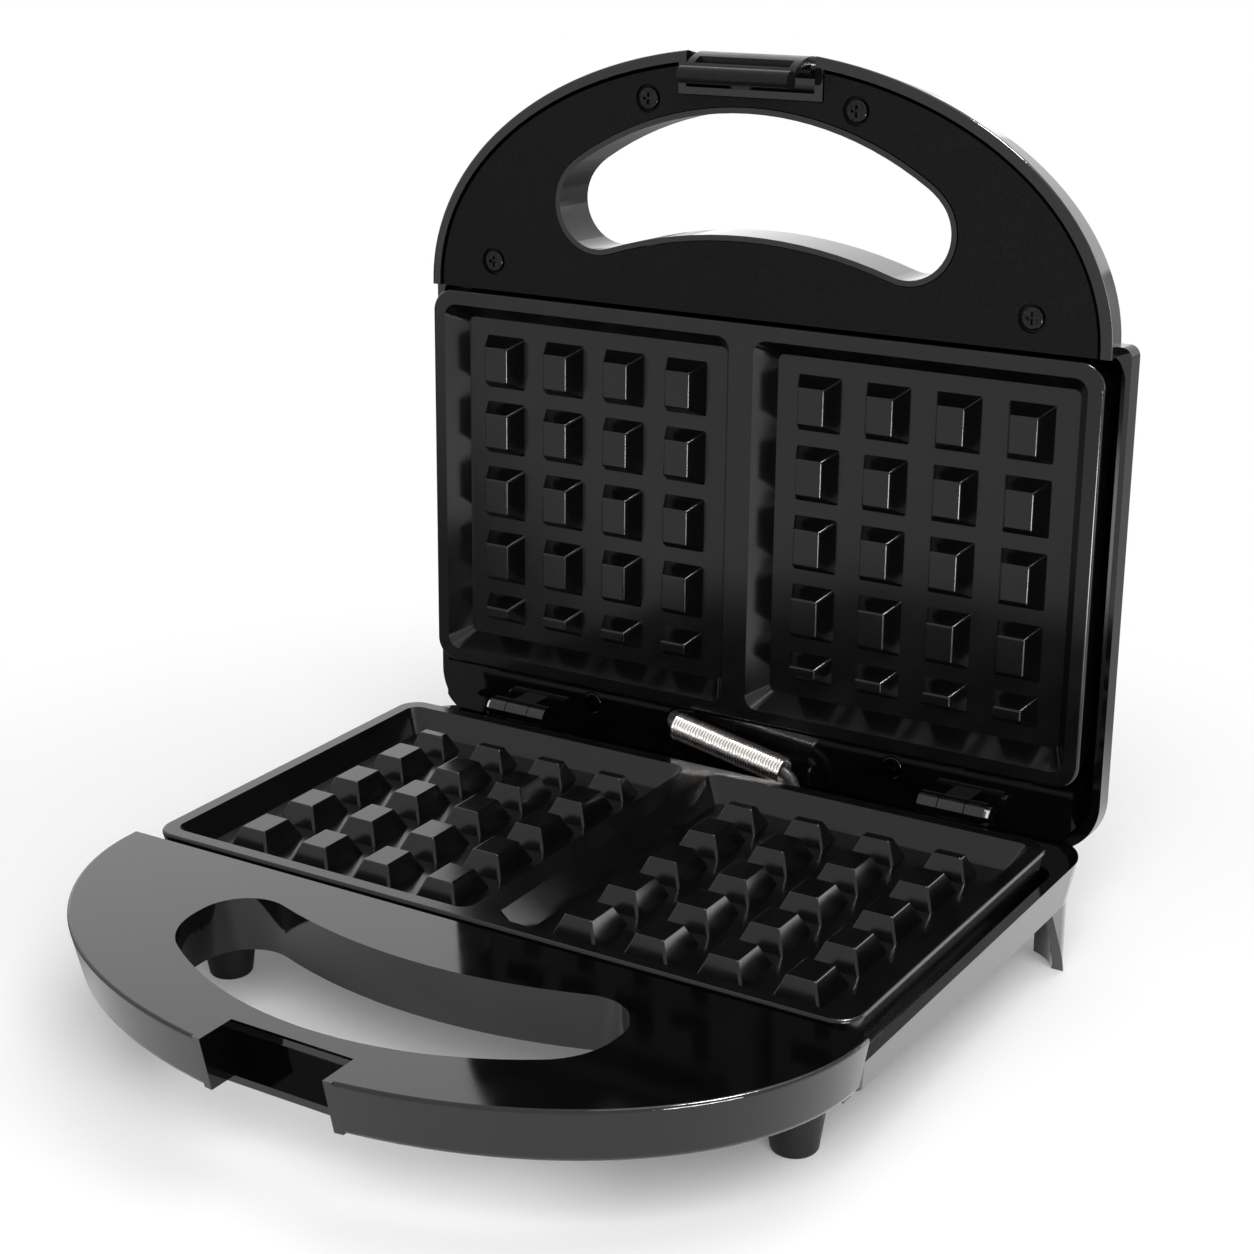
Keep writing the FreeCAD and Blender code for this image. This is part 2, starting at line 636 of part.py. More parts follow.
def base_handle_cover():
    z = BASE_HANDLE_Z + PANEL_SINK
    notch_y = NOTCH_Y - NOTCH_POCKET - NOTCH_BACK_T - PANEL_GAP
    inset = HANDLE_DRAFT + HANDLE_WALL + PANEL_GAP
    panel = handle_panel(BASE_PLAN, inset, BASE_HOLE_Y, z, NOTCH_HALF_W + CHEEK_T + PANEL_GAP, notch_y)
    panel = in_front_of(panel, -BODY_FRONT - PANEL_GAP)
    holes = []
    for x, y in BASE_COVER_SCREWS_XY:
        holes.append(upright(COVER_SCREW[0] + SCREW_HOLE_FIT, x, y, z - 1, z + PANEL_T + 1))
        holes.append(upright(SCREW_RECESS_R, x, y, z - 1, z + COVER_SCREW[2]))
    return panel.cut(holes)


def base_handle_screws():
    z = BASE_HANDLE_Z + PANEL_SINK + COVER_SCREW[2]
    return [screw(COVER_SCREW, Vector(x, y, z), Vector(0, 0, 1)) for x, y in BASE_COVER_SCREWS_XY]


def plate_boss_places():
    return [(sx * PLATE_BOSS_X, sy * PLATE_BOSS_Y) for sx in (-1, 1) for sy in (-1, 1)]


def base_bottom_cover():
    """A flanged tray, open at the rear, with four hollow pillars for the reflector and the lower plate."""
    flange = prism(base_wire(COVER_INSET, FLANGE_Z), PANEL_T)
    low = TRAY_IN + TRAY_DRAFT
    rear = BASE_REAR - COVER_INSET
    tray = loft([tray_wire(low, rear, COVER_Z), tray_wire(TRAY_IN, rear, FLANGE_TOP_Z)])
    room = loft([tray_wire(low + WALL, FAR, COVER_TOP_Z),
                 tray_wire(TRAY_IN + WALL, FAR, FLANGE_TOP_Z + 1)])
    panel = flange.fuse(tray).cut(room)
    pillars = []
    holes = []
    head_z = REFLECTOR_Z - PILLAR_FLOOR_T
    for x, y in plate_boss_places():
        pillars.append(upright(PILLAR_R, x, y, COVER_Z, REFLECTOR_Z))
        holes.append(upright(PLATE_SCREW[1] + SCREW_HOLE_FIT, x, y, COVER_Z - 1, head_z))
        holes.append(upright(PLATE_SCREW[0] + SCREW_HOLE_FIT, x, y, COVER_Z, REFLECTOR_Z + 1))
    for x, y in BOTTOM_SCREWS_XY:
        holes.append(upright(BOTTOM_SCREW[0] + SCREW_HOLE_FIT, x, y, FLANGE_Z - 1, FLANGE_TOP_Z + 1))
    for side in (-1, 1):
        holes.append(upright(FOOT_SPIGOT_R + PIN_FIT, side * FOOT_X, FOOT_Y, FLANGE_Z - 1, FLANGE_TOP_Z + 1))
    return panel.fuse(pillars).cut(holes)


def bottom_cover_screws():
    return [screw(BOTTOM_SCREW, Vector(x, y, FLANGE_Z), Vector(0, 0, 1)) for x, y in BOTTOM_SCREWS_XY]


def front_feet():
    """Tapered pegs whose spigots sit in the bottom cover's flange."""
    peg = Part.makeCone(FOOT_BOTTOM_R, FOOT_TOP_R, BAND_Z, Vector(FOOT_X, FOOT_Y, 0))
    peg = peg.makeFillet(FOOT_EDGE_R, edges_at_height(peg, 0))
    peg = peg.fuse(upright(FOOT_SPIGOT_R, FOOT_X, FOOT_Y, BAND_Z - 1, FLANGE_TOP_Z))
    return both_sides(peg)


# Grid plates and what lies behind them, drawn for the base

def stud(depth):
    """A truncated pyramid with softened edges, standing on Z = 0."""
    half_w = STUD_W / 2
    half_d = depth / 2
    low = Part.makePolygon([Vector(x, y, 0) for x, y in (
        (-half_w, -half_d), (half_w, -half_d), (half_w, half_d), (-half_w, half_d), (-half_w, -half_d))])
    top_w = half_w - STUD_TAPER
    top_d = half_d - STUD_TAPER
    high = Part.makePolygon([Vector(x, y, STUD_H) for x, y in (
        (-top_w, -top_d), (top_w, -top_d), (top_w, top_d), (-top_w, top_d), (-top_w, -top_d))])
    solid = loft([low, high])
    soft = [e for e in solid.Edges if e.BoundBox.ZMax > STUD_H / 2]
    return solid.makeFillet(STUD_EDGE_R, soft)


def pocket_studs(middle_x):
    """Four columns of studs: full rows from the front, then one short row beside the hinge."""
    full = stud(STUD_D)
    short = stud(STUD_SHORT_D)
    row_gap = STUD_PITCH_Y - STUD_D
    span = STUD_ROWS * STUD_PITCH_Y + STUD_SHORT_D
    first_y = -span / 2 + STUD_D / 2
    solids = []
    for column in range(STUD_COLUMNS):
        x = middle_x + (column - (STUD_COLUMNS - 1) / 2) * STUD_PITCH_X
        for row in range(STUD_ROWS):
            solids.append(full.translated(Vector(x, first_y + row * STUD_PITCH_Y, POCKET_Z)))
        last_y = first_y + (STUD_ROWS - 1) * STUD_PITCH_Y + STUD_D / 2 + row_gap + STUD_SHORT_D / 2
        solids.append(short.translated(Vector(x, last_y, POCKET_Z)))
    return solids


def grid_plate():
    """A cast pan: two sloping pockets of studs in front, a hollow with four screw bosses behind."""
    body = loft([plate_wire(PLATE_DRAFT, PLATE_SKIRT_Z), plate_wire(0, RIM_Z)])
    body = body.makeFillet(PLATE_EDGE_R, edges_at_height(body, RIM_Z))
    behind = prism(plate_wire(PLATE_DRAFT + PLATE_WALL, PLATE_SKIRT_Z), PLATE_BACK_Z - PLATE_SKIRT_Z)
    body = body.cut(behind)
    outer_x = PLATE_W / 2 - RIM_W
    inner_x = DIVIDER_W / 2
    half_d = PLATE_D / 2 - RIM_W
    for side in (-1, 1):
        x0 = min(side * outer_x, side * inner_x)
        x1 = max(side * outer_x, side * inner_x)
        mouth = rounded_rect(x0, x1, -half_d, half_d, RIM_Z, POCKET_CORNER, POCKET_CORNER)
        low_r = POCKET_CORNER / 2
        low_d = half_d - POCKET_INSET
        floor = rounded_rect(x0 + POCKET_INSET, x1 - POCKET_INSET, -low_d, low_d, POCKET_Z, low_r, low_r)
        space = loft([floor, mouth]).cut(pocket_studs((x0 + x1) / 2))
        body = body.cut(space)
    bosses = []
    holes = []
    for x, y in plate_boss_places():
        bosses.append(upright(PLATE_BOSS_R, x, y, PLATE_BACK_Z - PLATE_BOSS_H, PLATE_BACK_Z + PLATE_T / 2))
        holes.append(upright(PLATE_SCREW[0] + PIN_FIT, x, y, PLATE_BACK_Z - PLATE_BOSS_H - 1, PLATE_BACK_Z))
    return body.fuse(bosses).cut(holes)


def element_path(z):
    """A rounded loop, open at the rear in the middle."""
    w = ELEMENT_HALF_W
    d = ELEMENT_HALF_D
    r = ELEMENT_BEND
    k = r * (1 - math.sqrt(0.5))
    end = ELEMENT_GAP / 2
    return Part.Wire([
        line(Vector(-end, d, z), Vector(-w + r, d, z)),
        arc(Vector(-w + r, d, z), Vector(-w + k, d - k, z), Vector(-w, d - r, z)),
        line(Vector(-w, d - r, z), Vector(-w, -d + r, z)),
        arc(Vector(-w, -d + r, z), Vector(-w + k, -d + k, z), Vector(-w + r, -d, z)),
        line(Vector(-w + r, -d, z), Vector(w - r, -d, z)),
        arc(Vector(w - r, -d, z), Vector(w - k, -d + k, z), Vector(w, -d + r, z)),
        line(Vector(w, -d + r, z), Vector(w, d - r, z)),
        arc(Vector(w, d - r, z), Vector(w - k, d - k, z), Vector(w - r, d, z)),
        line(Vector(w - r, d, z), Vector(end, d, z)),
    ])


def element_z():
    return PLATE_BACK_Z - TUBE_CLEAR - ELEMENT_R


def heating_element():
    z = element_z()
    end = ELEMENT_GAP / 2
    section = Part.Wire([Part.makeCircle(ELEMENT_R, Vector(-end, ELEMENT_HALF_D, z), Vector(1, 0, 0))])
    tube = element_path(z).makePipeShell([section], True, False)
    pins = [across(ELEMENT_PIN_R, -end, -end + ELEMENT_PIN_L, ELEMENT_HALF_D, z),
            across(ELEMENT_PIN_R, end - ELEMENT_PIN_L, end, ELEMENT_HALF_D, z)]
    return tube.fuse(pins)


def strap(radius, width):
    """A strap over a tube along X, its two flanges against the plate's back. Middle at X = 0, Y = 0."""
    z = PLATE_BACK_Z - TUBE_CLEAR - radius
    inner = radius + TUBE_CLEAR
    outer = inner + CLIP_T
    half = width / 2
    far = half + 1
    arch = across(outer, -half, half, 0, z).fuse(box(-half, half, -outer, outer, z, PLATE_BACK_Z))
    wide = outer + CLIP_FLANGE
    flange = box(-half, half, -wide, wide, PLATE_BACK_Z - CLIP_T, PLATE_BACK_Z)
    channel = across(inner, -far, far, 0, z).fuse(box(-far, far, -inner, inner, z, PLATE_BACK_Z + 1))
    return arch.fuse(flange).cut(channel)


def element_clips():
    front = strap(ELEMENT_R, CLIP_W).translated(Vector(0, -ELEMENT_HALF_D, 0))
    turned = strap(ELEMENT_R, CLIP_W)
    turned.rotate(Vector(0, 0, 0), Vector(0, 0, 1), 90)
    return [front] + both_sides(turned.translated(Vector(ELEMENT_HALF_W, 0, 0)))


def reflector():
    """A shallow sheet tray with an upturned edge."""
    w = REFLECTOR_HALF_W
    d = REFLECTOR_HALF_D
    t = REFLECTOR_T
    r = REFLECTOR_CORNER
    low = REFLECTOR_Z
    tray = prism(rounded_rect(-w, w, -d, d, low, r, r), t + REFLECTOR_EDGE_H)
    room = rounded_rect(-w + t, w - t, -d + t, d - t, low + t, r - t, r - t)
    tray = tray.cut(prism(room, REFLECTOR_EDGE_H + 1))
    hole_r = PLATE_SCREW[0] + SCREW_HOLE_FIT
    return tray.cut([upright(hole_r, x, y, low - 1, low + t + 1) for x, y in plate_boss_places()])


def lower_plate_screws():
    z = REFLECTOR_Z - PILLAR_FLOOR_T
    return [screw(PLATE_SCREW, Vector(x, y, z), Vector(0, 0, 1)) for x, y in plate_boss_places()]


# Parts of the base's circuit

def thermostat():
    """Bimetal can seated on the plate's back, with two blade terminals."""
    low = PLATE_BACK_Z - THERMOSTAT_H
    can = upright(THERMOSTAT_R, 0, 0, low, PLATE_BACK_Z)
    base = upright(THERMOSTAT_BASE_R, 0, 0, low - THERMOSTAT_BASE_H, low)
    blades = []
    for side in (-1, 1):
        x = side * THERMOSTAT_BASE_R / 2
        x1 = x + side * (THERMOSTAT_BASE_R / 2 + BLADE_L)
        blades.append(box(min(x, x1), max(x, x1), -BLADE_W / 2, BLADE_W / 2,
                          low - THERMOSTAT_BASE_H, low - THERMOSTAT_BASE_H + BLADE_T))
    return can.fuse([base] + blades)


def thermal_fuse():
    z = PLATE_BACK_Z - TUBE_CLEAR - FUSE_R
    half = FUSE_L / 2
    sleeve = across(FUSE_R, FUSE_X - half, FUSE_X + half, 0, z)
    return sleeve.fuse(across(FUSE_R / 3, FUSE_X - FUSE_L, FUSE_X + FUSE_L, 0, z))


def fuse_strap():
    return strap(FUSE_R, FUSE_STRAP_W).translated(Vector(FUSE_X, 0, 0))


def terminal_block():
    """A moulded block with a row of cross bores and a clamp-screw well over each."""
    half_w = BLOCK_W / 2
    half_d = BLOCK_D / 2
    z = COVER_TOP_Z
    block = box(BLOCK_X - half_w, BLOCK_X + half_w, BLOCK_Y - half_d, BLOCK_Y + half_d, z, z + BLOCK_H)
    cuts = []
    for way in range(BLOCK_WAYS):
        x = BLOCK_X + (way - (BLOCK_WAYS - 1) / 2) * BLOCK_W / BLOCK_WAYS
        cuts.append(cylinder(BLOCK_BORE_R, Vector(x, BLOCK_Y - half_d - 1, z + BLOCK_H / 2),
                             Vector(x, BLOCK_Y + half_d + 1, z + BLOCK_H / 2)))
        cuts.append(upright(BLOCK_BORE_R, x, BLOCK_Y, z + BLOCK_H / 2, z + BLOCK_H + 1))
    return block.cut(cuts)


def cord_bush():
    """The bush that a supply cord would pass through, in the rear wall."""
    drop = BASE_LEDGE_Z - BUSH_Z - BUSH_FLANGE_R
    wall_y = BASE_REAR - BODY_DRAFT * drop / BAND_H
    inside = BASE_REAR - COVER_INSET
    outside = wall_y + BUSH_FLANGE_T
    body = cylinder(BUSH_R, Vector(BUSH_X, inside, BUSH_Z), Vector(BUSH_X, outside, BUSH_Z))
    flange = cylinder(BUSH_FLANGE_R, Vector(BUSH_X, wall_y, BUSH_Z), Vector(BUSH_X, outside, BUSH_Z))
    bore = cylinder(BUSH_BORE_R, Vector(BUSH_X, inside - 1, BUSH_Z), Vector(BUSH_X, outside + 1, BUSH_Z))
    return body.fuse(flange).cut(bore)


def hinge_pins():
    reach = LUG_W / 2 + HINGE_SIDE_GAP + EAR_W
    pin = across(HINGE_PIN_R, HINGE_X - reach, HINGE_X + reach, HINGE_Y, HINGE_Z)
    head = across(HINGE_HEAD_R, HINGE_X + reach, HINGE_X + reach + HINGE_HEAD_H, HINGE_Y, HINGE_Z)
    return both_sides(pin.fuse(head))


# Lid, drawn shut

def lid_shell():
    """Handle and domed body of the lid as one hollow shell, open below."""
    handle = handle_solid(LID_PLAN, 0, LID_FACE_Z, HANDLE_DRAFT, LID_HANDLE_Z)
    rounded = [e for e in edges_at_height(handle, LID_FACE_Z) if e.BoundBox.YMin < -HANDLE_ROUND_Y]
    handle = handle.makeFillet(HANDLE_EDGE_R, rounded)
    rounded = [e for e in edges_at_height(handle, LID_HANDLE_Z) if e.BoundBox.YMin < -HANDLE_ROUND_Y]
    handle = handle.makeFillet(HANDLE_FOOT_R, rounded)
    handle = in_front_of(handle, -BODY_FRONT + WALL)
    top_inset = HANDLE_DRAFT + HANDLE_WALL
    hollow = handle_solid(LID_PLAN, HANDLE_WALL, LID_FACE_Z, top_inset, LID_HANDLE_Z - HANDLE_TOP_T)
    hollow = in_front_of(hollow, -BODY_FRONT + WALL)
    skirt = prism(lid_wire(0, SKIRT_Z), SKIRT_H)
    slope = loft([lid_wire(0, SLOPE_Z), lid_wire(SLOPE_RUN, DECK_Z)])
    inner_low = SLOPE_Z - 1
    deck_low = DECK_Z - DECK_T
    slant_wall = WALL * math.hypot(SLOPE_RUN, SLOPE_H) / SLOPE_H
    deck_inset = SLOPE_RUN * (deck_low - SLOPE_Z) / SLOPE_H + slant_wall
    inside = prism(lid_wire(WALL, SKIRT_Z), inner_low - SKIRT_Z)
    inside_slope = loft([lid_wire(WALL, inner_low), lid_wire(deck_inset, deck_low)])
    outside = handle.fuse(skirt).fuse(slope)
    return outside, outside.cut([hollow, inside, inside_slope])


def lid_housing():
    outside, shell = lid_shell()
    cheek_x = LID_NOTCH_HALF_W + CHEEK_T
    wall_y = -LID_NOTCH_Y + LID_NOTCH_WALL
    block = outside.common(box(-cheek_x, cheek_x, -FAR, wall_y, LID_FACE_Z, LID_HANDLE_Z))
    tube_low = LID_FACE_Z + PANEL_SINK - HOLE_LIP
    tube = finger_hole(LID_HOLE_Y, HOLE_WALL, tube_low, LID_HANDLE_Z - HANDLE_TOP_T / 2)
    bosses = []
    panel_top = LID_FACE_Z + PANEL_SINK + PANEL_T
    for x, y in LID_COVER_SCREWS_XY:
        bosses.append(upright(COVER_BOSS_R, x, y, panel_top, LID_HANDLE_Z - HANDLE_TOP_T / 2))
    plate_top = HINGE_PLATE_Z + HINGE_PLATE_T
    for side in (-1, 1):
        x = side * HINGE_PLATE_SCREW_X
        bosses.append(upright(COVER_BOSS_R, x, HINGE_PLATE_SCREW_Y, plate_top, DECK_Z))
    spacer_low = 2 * PARTING_Z - REFLECTOR_Z
    for x, y in plate_boss_places():
        bosses.append(upright(PILLAR_R, x, y, spacer_low, DECK_Z - DECK_T / 2))
    bosses = [boss.common(outside) for boss in bosses]
    shell = shell.fuse([block, tube] + bosses)

    notch = box(-LID_NOTCH_HALF_W, LID_NOTCH_HALF_W, -FAR, -LID_NOTCH_Y,
                LID_FACE_Z - 1, LID_HANDLE_Z - HANDLE_TOP_T)
    cuts = [finger_hole(LID_HOLE_Y, 0, LID_FACE_Z - 1, LID_HANDLE_Z + 1), notch]
    pilot_r = COVER_SCREW[0] + PIN_FIT
    depth = COVER_SCREW[3] + PANEL_T
    for x, y in LID_COVER_SCREWS_XY:
        cuts.append(upright(pilot_r, x, y, LID_FACE_Z, LID_FACE_Z + depth))
    for side in (-1, 1):
        x = side * HINGE_PLATE_SCREW_X
        cuts.append(upright(pilot_r, x, HINGE_PLATE_SCREW_Y, HINGE_PLATE_Z, HINGE_PLATE_Z + depth))
        for y in (-PEG_Y, PEG_Y):
            cuts.append(upright(PEG_R + PIN_FIT, side * PEG_X, y, DECK_Z - PEG_H - 1, DECK_Z + 1))
    for x, y in plate_boss_places():
        cuts.append(upright(PLATE_SCREW[0] + SCREW_HOLE_FIT, x, y, spacer_low - 1, DECK_Z + 1))
    cuts.append(across(LATCH_PIN_R + PIN_FIT, -cheek_x - 1, cheek_x + 1, -LATCH_PIVOT_Y, LATCH_Z))
    return shell.cut(cuts)


def lid_top_panel():
    """A shallow domed cap that snaps on the lid's deck with four pegs."""
    low = SLOPE_RUN + PANEL_STEP
    edge_z = DECK_Z + PANEL_EDGE_H
    dome = loft([lid_wire(low, DECK_Z), lid_wire(low + PANEL_EDGE_RUN, edge_z),
                 lid_wire(low + PANEL_CROWN_RUN, LID_TOP_Z)])
    inner = low + PANEL_WALL
    room = loft([lid_wire(inner, DECK_Z), lid_wire(inner + PANEL_EDGE_RUN, edge_z - PANEL_WALL / 2),
                 lid_wire(inner + PANEL_CROWN_RUN, LID_TOP_Z - PANEL_WALL)])
    within_skin = dome.translated(Vector(0, 0, -PANEL_WALL / 2))
    pegs = []
    for side in (-1, 1):
        for y in (-PEG_Y, PEG_Y):
            pegs.append(upright(PEG_R, side * PEG_X, y, DECK_Z - PEG_H, DECK_Z + PANEL_WALL))
            pegs.append(upright(PEG_R, side * PEG_X, y, DECK_Z, LID_TOP_Z).common(within_skin))
    hole = upright(LENS_R + LENS_FIT, LENS_X, LENS_Y, DECK_Z + PANEL_WALL, LID_TOP_Z + 1)
    return dome.cut(room).fuse(pegs).cut(both_sides(hole))


def lid_handle_cover():
    z = LID_FACE_Z + PANEL_SINK
    inset = HANDLE_WALL + PANEL_GAP + HANDLE_DRAFT * (PANEL_SINK + PANEL_T) / HANDLE_T
    notch_half_w = LID_NOTCH_HALF_W + CHEEK_T + PANEL_GAP / 2
    notch_y = LID_NOTCH_Y - LID_NOTCH_WALL - PANEL_GAP / 2
    panel = handle_panel(LID_PLAN, inset, LID_HOLE_Y, z, notch_half_w, notch_y)
    panel = in_front_of(panel, -WELL_Y)
    holes = []
    for x, y in LID_COVER_SCREWS_XY:
        holes.append(upright(COVER_SCREW[0] + SCREW_HOLE_FIT, x, y, z - 1, z + PANEL_T + 1))
        holes.append(upright(SCREW_RECESS_R, x, y, z - 1, z + COVER_SCREW[2]))
    return panel.cut(holes)


def handle_cover_screws():
    z = LID_FACE_Z + PANEL_SINK + COVER_SCREW[2]
    return [screw(COVER_SCREW, Vector(x, y, z), Vector(0, 0, 1)) for x, y in LID_COVER_SCREWS_XY]


def lid_hinge_plate():
    """Stepped panel behind the upper plate, with a lug for each hinge on its underside."""
    low = HINGE_PLATE_Z
    high = low + HINGE_PLATE_T
    edge = HINGE_Y + HINGE_PLATE_REACH
    flange_low = SKIRT_Z + PANEL_SINK
    flange_high = flange_low + HINGE_FLANGE_T
    rear = LID_REAR - WALL - PANEL_GAP
    profile = side_prism([
        (WELL_Y, low), (edge, low), (edge, flange_low), (rear, flange_low), (rear, flange_high),
        (edge - WALL, flange_high), (edge - WALL, high), (WELL_Y, high),
    ], -HINGE_PLATE_HALF_W, HINGE_PLATE_HALF_W)
    profile = profile.common(prism(lid_wire(WALL + PANEL_GAP, low - 1), flange_high - low + 2))
    lugs = []
    cuts = []
    for side in (-1, 1):
        x0 = side * HINGE_X - LUG_W / 2
        x1 = side * HINGE_X + LUG_W / 2
        web = box(x0, x1, HINGE_Y - KNUCKLE_WEB / 2, HINGE_Y + KNUCKLE_WEB / 2, HINGE_Z, low + 1)
        lugs.append(across(KNUCKLE_R, x0, x1, HINGE_Y, HINGE_Z).fuse(web))
        cuts.append(across(HINGE_PIN_R + RUN_FIT, x0 - 1, x1 + 1, HINGE_Y, HINGE_Z))
        x = side * HINGE_PLATE_SCREW_X
        cuts.append(upright(COVER_SCREW[0] + SCREW_HOLE_FIT, x, HINGE_PLATE_SCREW_Y, low - 1, high + 1))
        cuts.append(upright(HINGE_RECESS_R, x, HINGE_PLATE_SCREW_Y, low - 1, low + COVER_SCREW[2]))
    cuts.append(upright(LEAD_R + LEAD_HOLE_FIT, LEAD_LID_X, LEAD_LID_Y, low - 1, high + 1))
    return profile.fuse(lugs).cut(cuts)


def hinge_plate_screws():
    z = HINGE_PLATE_Z + COVER_SCREW[2]
    seats = [Vector(side * HINGE_PLATE_SCREW_X, HINGE_PLATE_SCREW_Y, z) for side in (-1, 1)]
    return [screw(COVER_SCREW, seat, Vector(0, 0, 1)) for seat in seats]


def upper_plate_screws():
    return [screw(PLATE_SCREW, Vector(x, y, DECK_Z), Vector(0, 0, -1)) for x, y in plate_boss_places()]


def lamp_holder():
    half_w = LENS_X + LENS_R + HOLDER_MARGIN
    return box(-half_w, half_w, LENS_Y - HOLDER_D / 2, LENS_Y + HOLDER_D / 2, DECK_Z, DECK_Z + HOLDER_H)


def neon_lamps():
    """Two small bulbs that stand up inside the hollow lenses."""
    low = DECK_Z + HOLDER_H
    top = LID_TOP_Z + LENS_RISE - LENS_WALL - LAMP_GAP
    bulb = upright(LAMP_R, LENS_X, LENS_Y, low, top)
    bulb = bulb.makeFillet(LAMP_R * 0.9, edges_at_height(bulb, top))
    return both_sides(bulb)


def lamp_lens(side):
    """A round lens with a domed face and a flange under the top panel."""
    x = side * LENS_X
    low = LID_TOP_Z - PANEL_WALL - LENS_FLANGE_T
    flange = upright(LENS_FLANGE_R, x, LENS_Y, low, low + LENS_FLANGE_T)
    stem = upright(LENS_R, x, LENS_Y, low, LID_TOP_Z + LENS_RISE)
    stem = stem.makeFillet(LENS_RISE * 0.9, edges_at_height(stem, LID_TOP_Z + LENS_RISE))
    hollow = upright(LAMP_R + LAMP_GAP, x, LENS_Y, low - 1, LID_TOP_Z + LENS_RISE - LENS_WALL)
    return flange.fuse(stem).cut(hollow)


# Latch, drawn hooked under the edge of the base's handle

def bowed(first, last, bow):
    """An arc between two points of a YZ plane whose middle stands out to the front by a bow."""
    along = last - first
    out = Vector(0, along.z, -along.y)
    out.normalize()
    return arc(first, (first + last) * 0.5 + out * bow, last)


def latch():
    """A bowed flap that hangs from a barrel and slants in to a hooked round lip, with a window above it."""
    x0 = -LATCH_HALF_W
    width = Vector(2 * LATCH_HALF_W, 0, 0)
    strike_z = BASE_TOP_Z - HANDLE_TOP_T
    hook_z = strike_z - HOOK_GAP
    tip_y = -NOTCH_Y + STRIKE_BEVEL + HOOK_REACH
    lip = Vector(x0, -NOTCH_Y + LIP_IN, hook_z - LIP_R)
    barrel = Vector(x0, -LATCH_PIVOT_Y, LATCH_Z)
    top = barrel - Vector(0, LATCH_BARREL_R, 0)
    foot = lip + Vector(0, -LIP_R, LIP_R) * math.sqrt(0.5)
    inward = Vector(0, LATCH_T, 0)
    flap = Part.Face(Part.Wire([
        bowed(top, foot, LATCH_BOW), line(foot, foot + inward),
        bowed(foot + inward, top + inward, -LATCH_BOW), line(top + inward, top),
    ])).extrude(width)
    side = LATCH_HALF_W - WINDOW_SIDE
    window_z = strike_z + WINDOW_RISE
    window = box(-side, side, -FAR, 0, window_z, window_z + WINDOW_H)
    rounds = [Part.makeCylinder(LATCH_BARREL_R, width.x, barrel, width),
              Part.makeCylinder(LIP_R, width.x, lip, width)]
    hook = box(x0, -x0, lip.y, tip_y, lip.z, hook_z)
    tip = [e for e in hook.Edges if e.BoundBox.YMin > tip_y - 1e-4 and e.BoundBox.ZLength < 1e-4]
    hook = hook.makeFillet(HOOK_TIP_R, tip)
    bore = across(LATCH_PIN_R + RUN_FIT, x0 - 1, -x0 + 1, -LATCH_PIVOT_Y, LATCH_Z)
    return flap.cut(window).fuse(rounds + [hook]).cut(bore)


def latch_pin():
    reach = LID_NOTCH_HALF_W + CHEEK_T
    return across(LATCH_PIN_R, -reach, reach, -LATCH_PIVOT_Y, LATCH_Z)


# Lead and spring between base and lid, drawn with the lid open

def opened(point):
    """Where a point of the shut lid lies once the lid is open."""
    y = point.y - HINGE_Y
    z = point.z - HINGE_Z
    c = math.cos(OPEN)
    s = math.sin(OPEN)
    return Vector(point.x, HINGE_Y + y * c + z * s, HINGE_Z - y * s + z * c)


def lead_points():
    """Inside the base, up out of the ledge, across, and square into the open lid's hinge plate."""
    lid_out = opened(Vector(0, 0, -1)) - opened(Vector(0, 0, 0))
    lid_hole = opened(Vector(LEAD_LID_X, LEAD_LID_Y, HINGE_PLATE_Z))
    base_hole = Vector(LEAD_BASE_X, LEAD_BASE_Y, BASE_LEDGE_Z)
    return [
        base_hole - Vector(0, 0, LEAD_INSIDE),
        base_hole + Vector(0, 0, LEAD_BASE_STAND),
        lid_hole + lid_out * LEAD_LID_STAND,
        lid_hole - lid_out * LEAD_INSIDE,
    ]


def rounded_path(points, radius):
    """Straight runs joined by tangent arcs of one radius."""
    edges = []
    start = points[0]
    for before, corner, after in zip(points, points[1:], points[2:]):
        incoming = corner - before
        outgoing = after - corner
        incoming.normalize()
        outgoing.normalize()
        turn = incoming.getAngle(outgoing)
        back = radius * math.tan(turn / 2)
        first = corner - incoming * back
        last = corner + outgoing * back
        inward = outgoing - incoming
        inward.normalize()
        middle = corner + inward * (radius / math.cos(turn / 2) - radius)
        edges.append(line(start, first))
        edges.append(arc(first, middle, last))
        start = last
    edges.append(line(start, points[-1]))
    return Part.Wire(edges)


def lid_lead():
    points = lead_points()
    path = rounded_path(points, LEAD_BEND_R)
    along = points[1] - points[0]
    section = Part.Wire([Part.makeCircle(LEAD_R, points[0], along)])
    tube = path.makePipeShell([section], True, False)
    plain = math.pi * LEAD_R ** 2 * path.Length
    print("lead volume over section times length:", round(tube.Volume / plain, 4))
    return tube


def arc_from(start, tangent, end):
    """The circular arc that leaves a point along a tangent and reaches another point."""
    chord = end - start
    side = chord - tangent * chord.dot(tangent)
    if side.Length < 1e-7:
        return line(start, end)
    side.normalize()
    radius = chord.dot(chord) / (2 * chord.dot(side))
    centre = start + side * radius
    middle = centre + ((start + end) * 0.5 - centre).normalize() * radius
    if chord.dot(tangent) < 0:
        middle = centre - (middle - centre)
    return arc(start, middle, end)


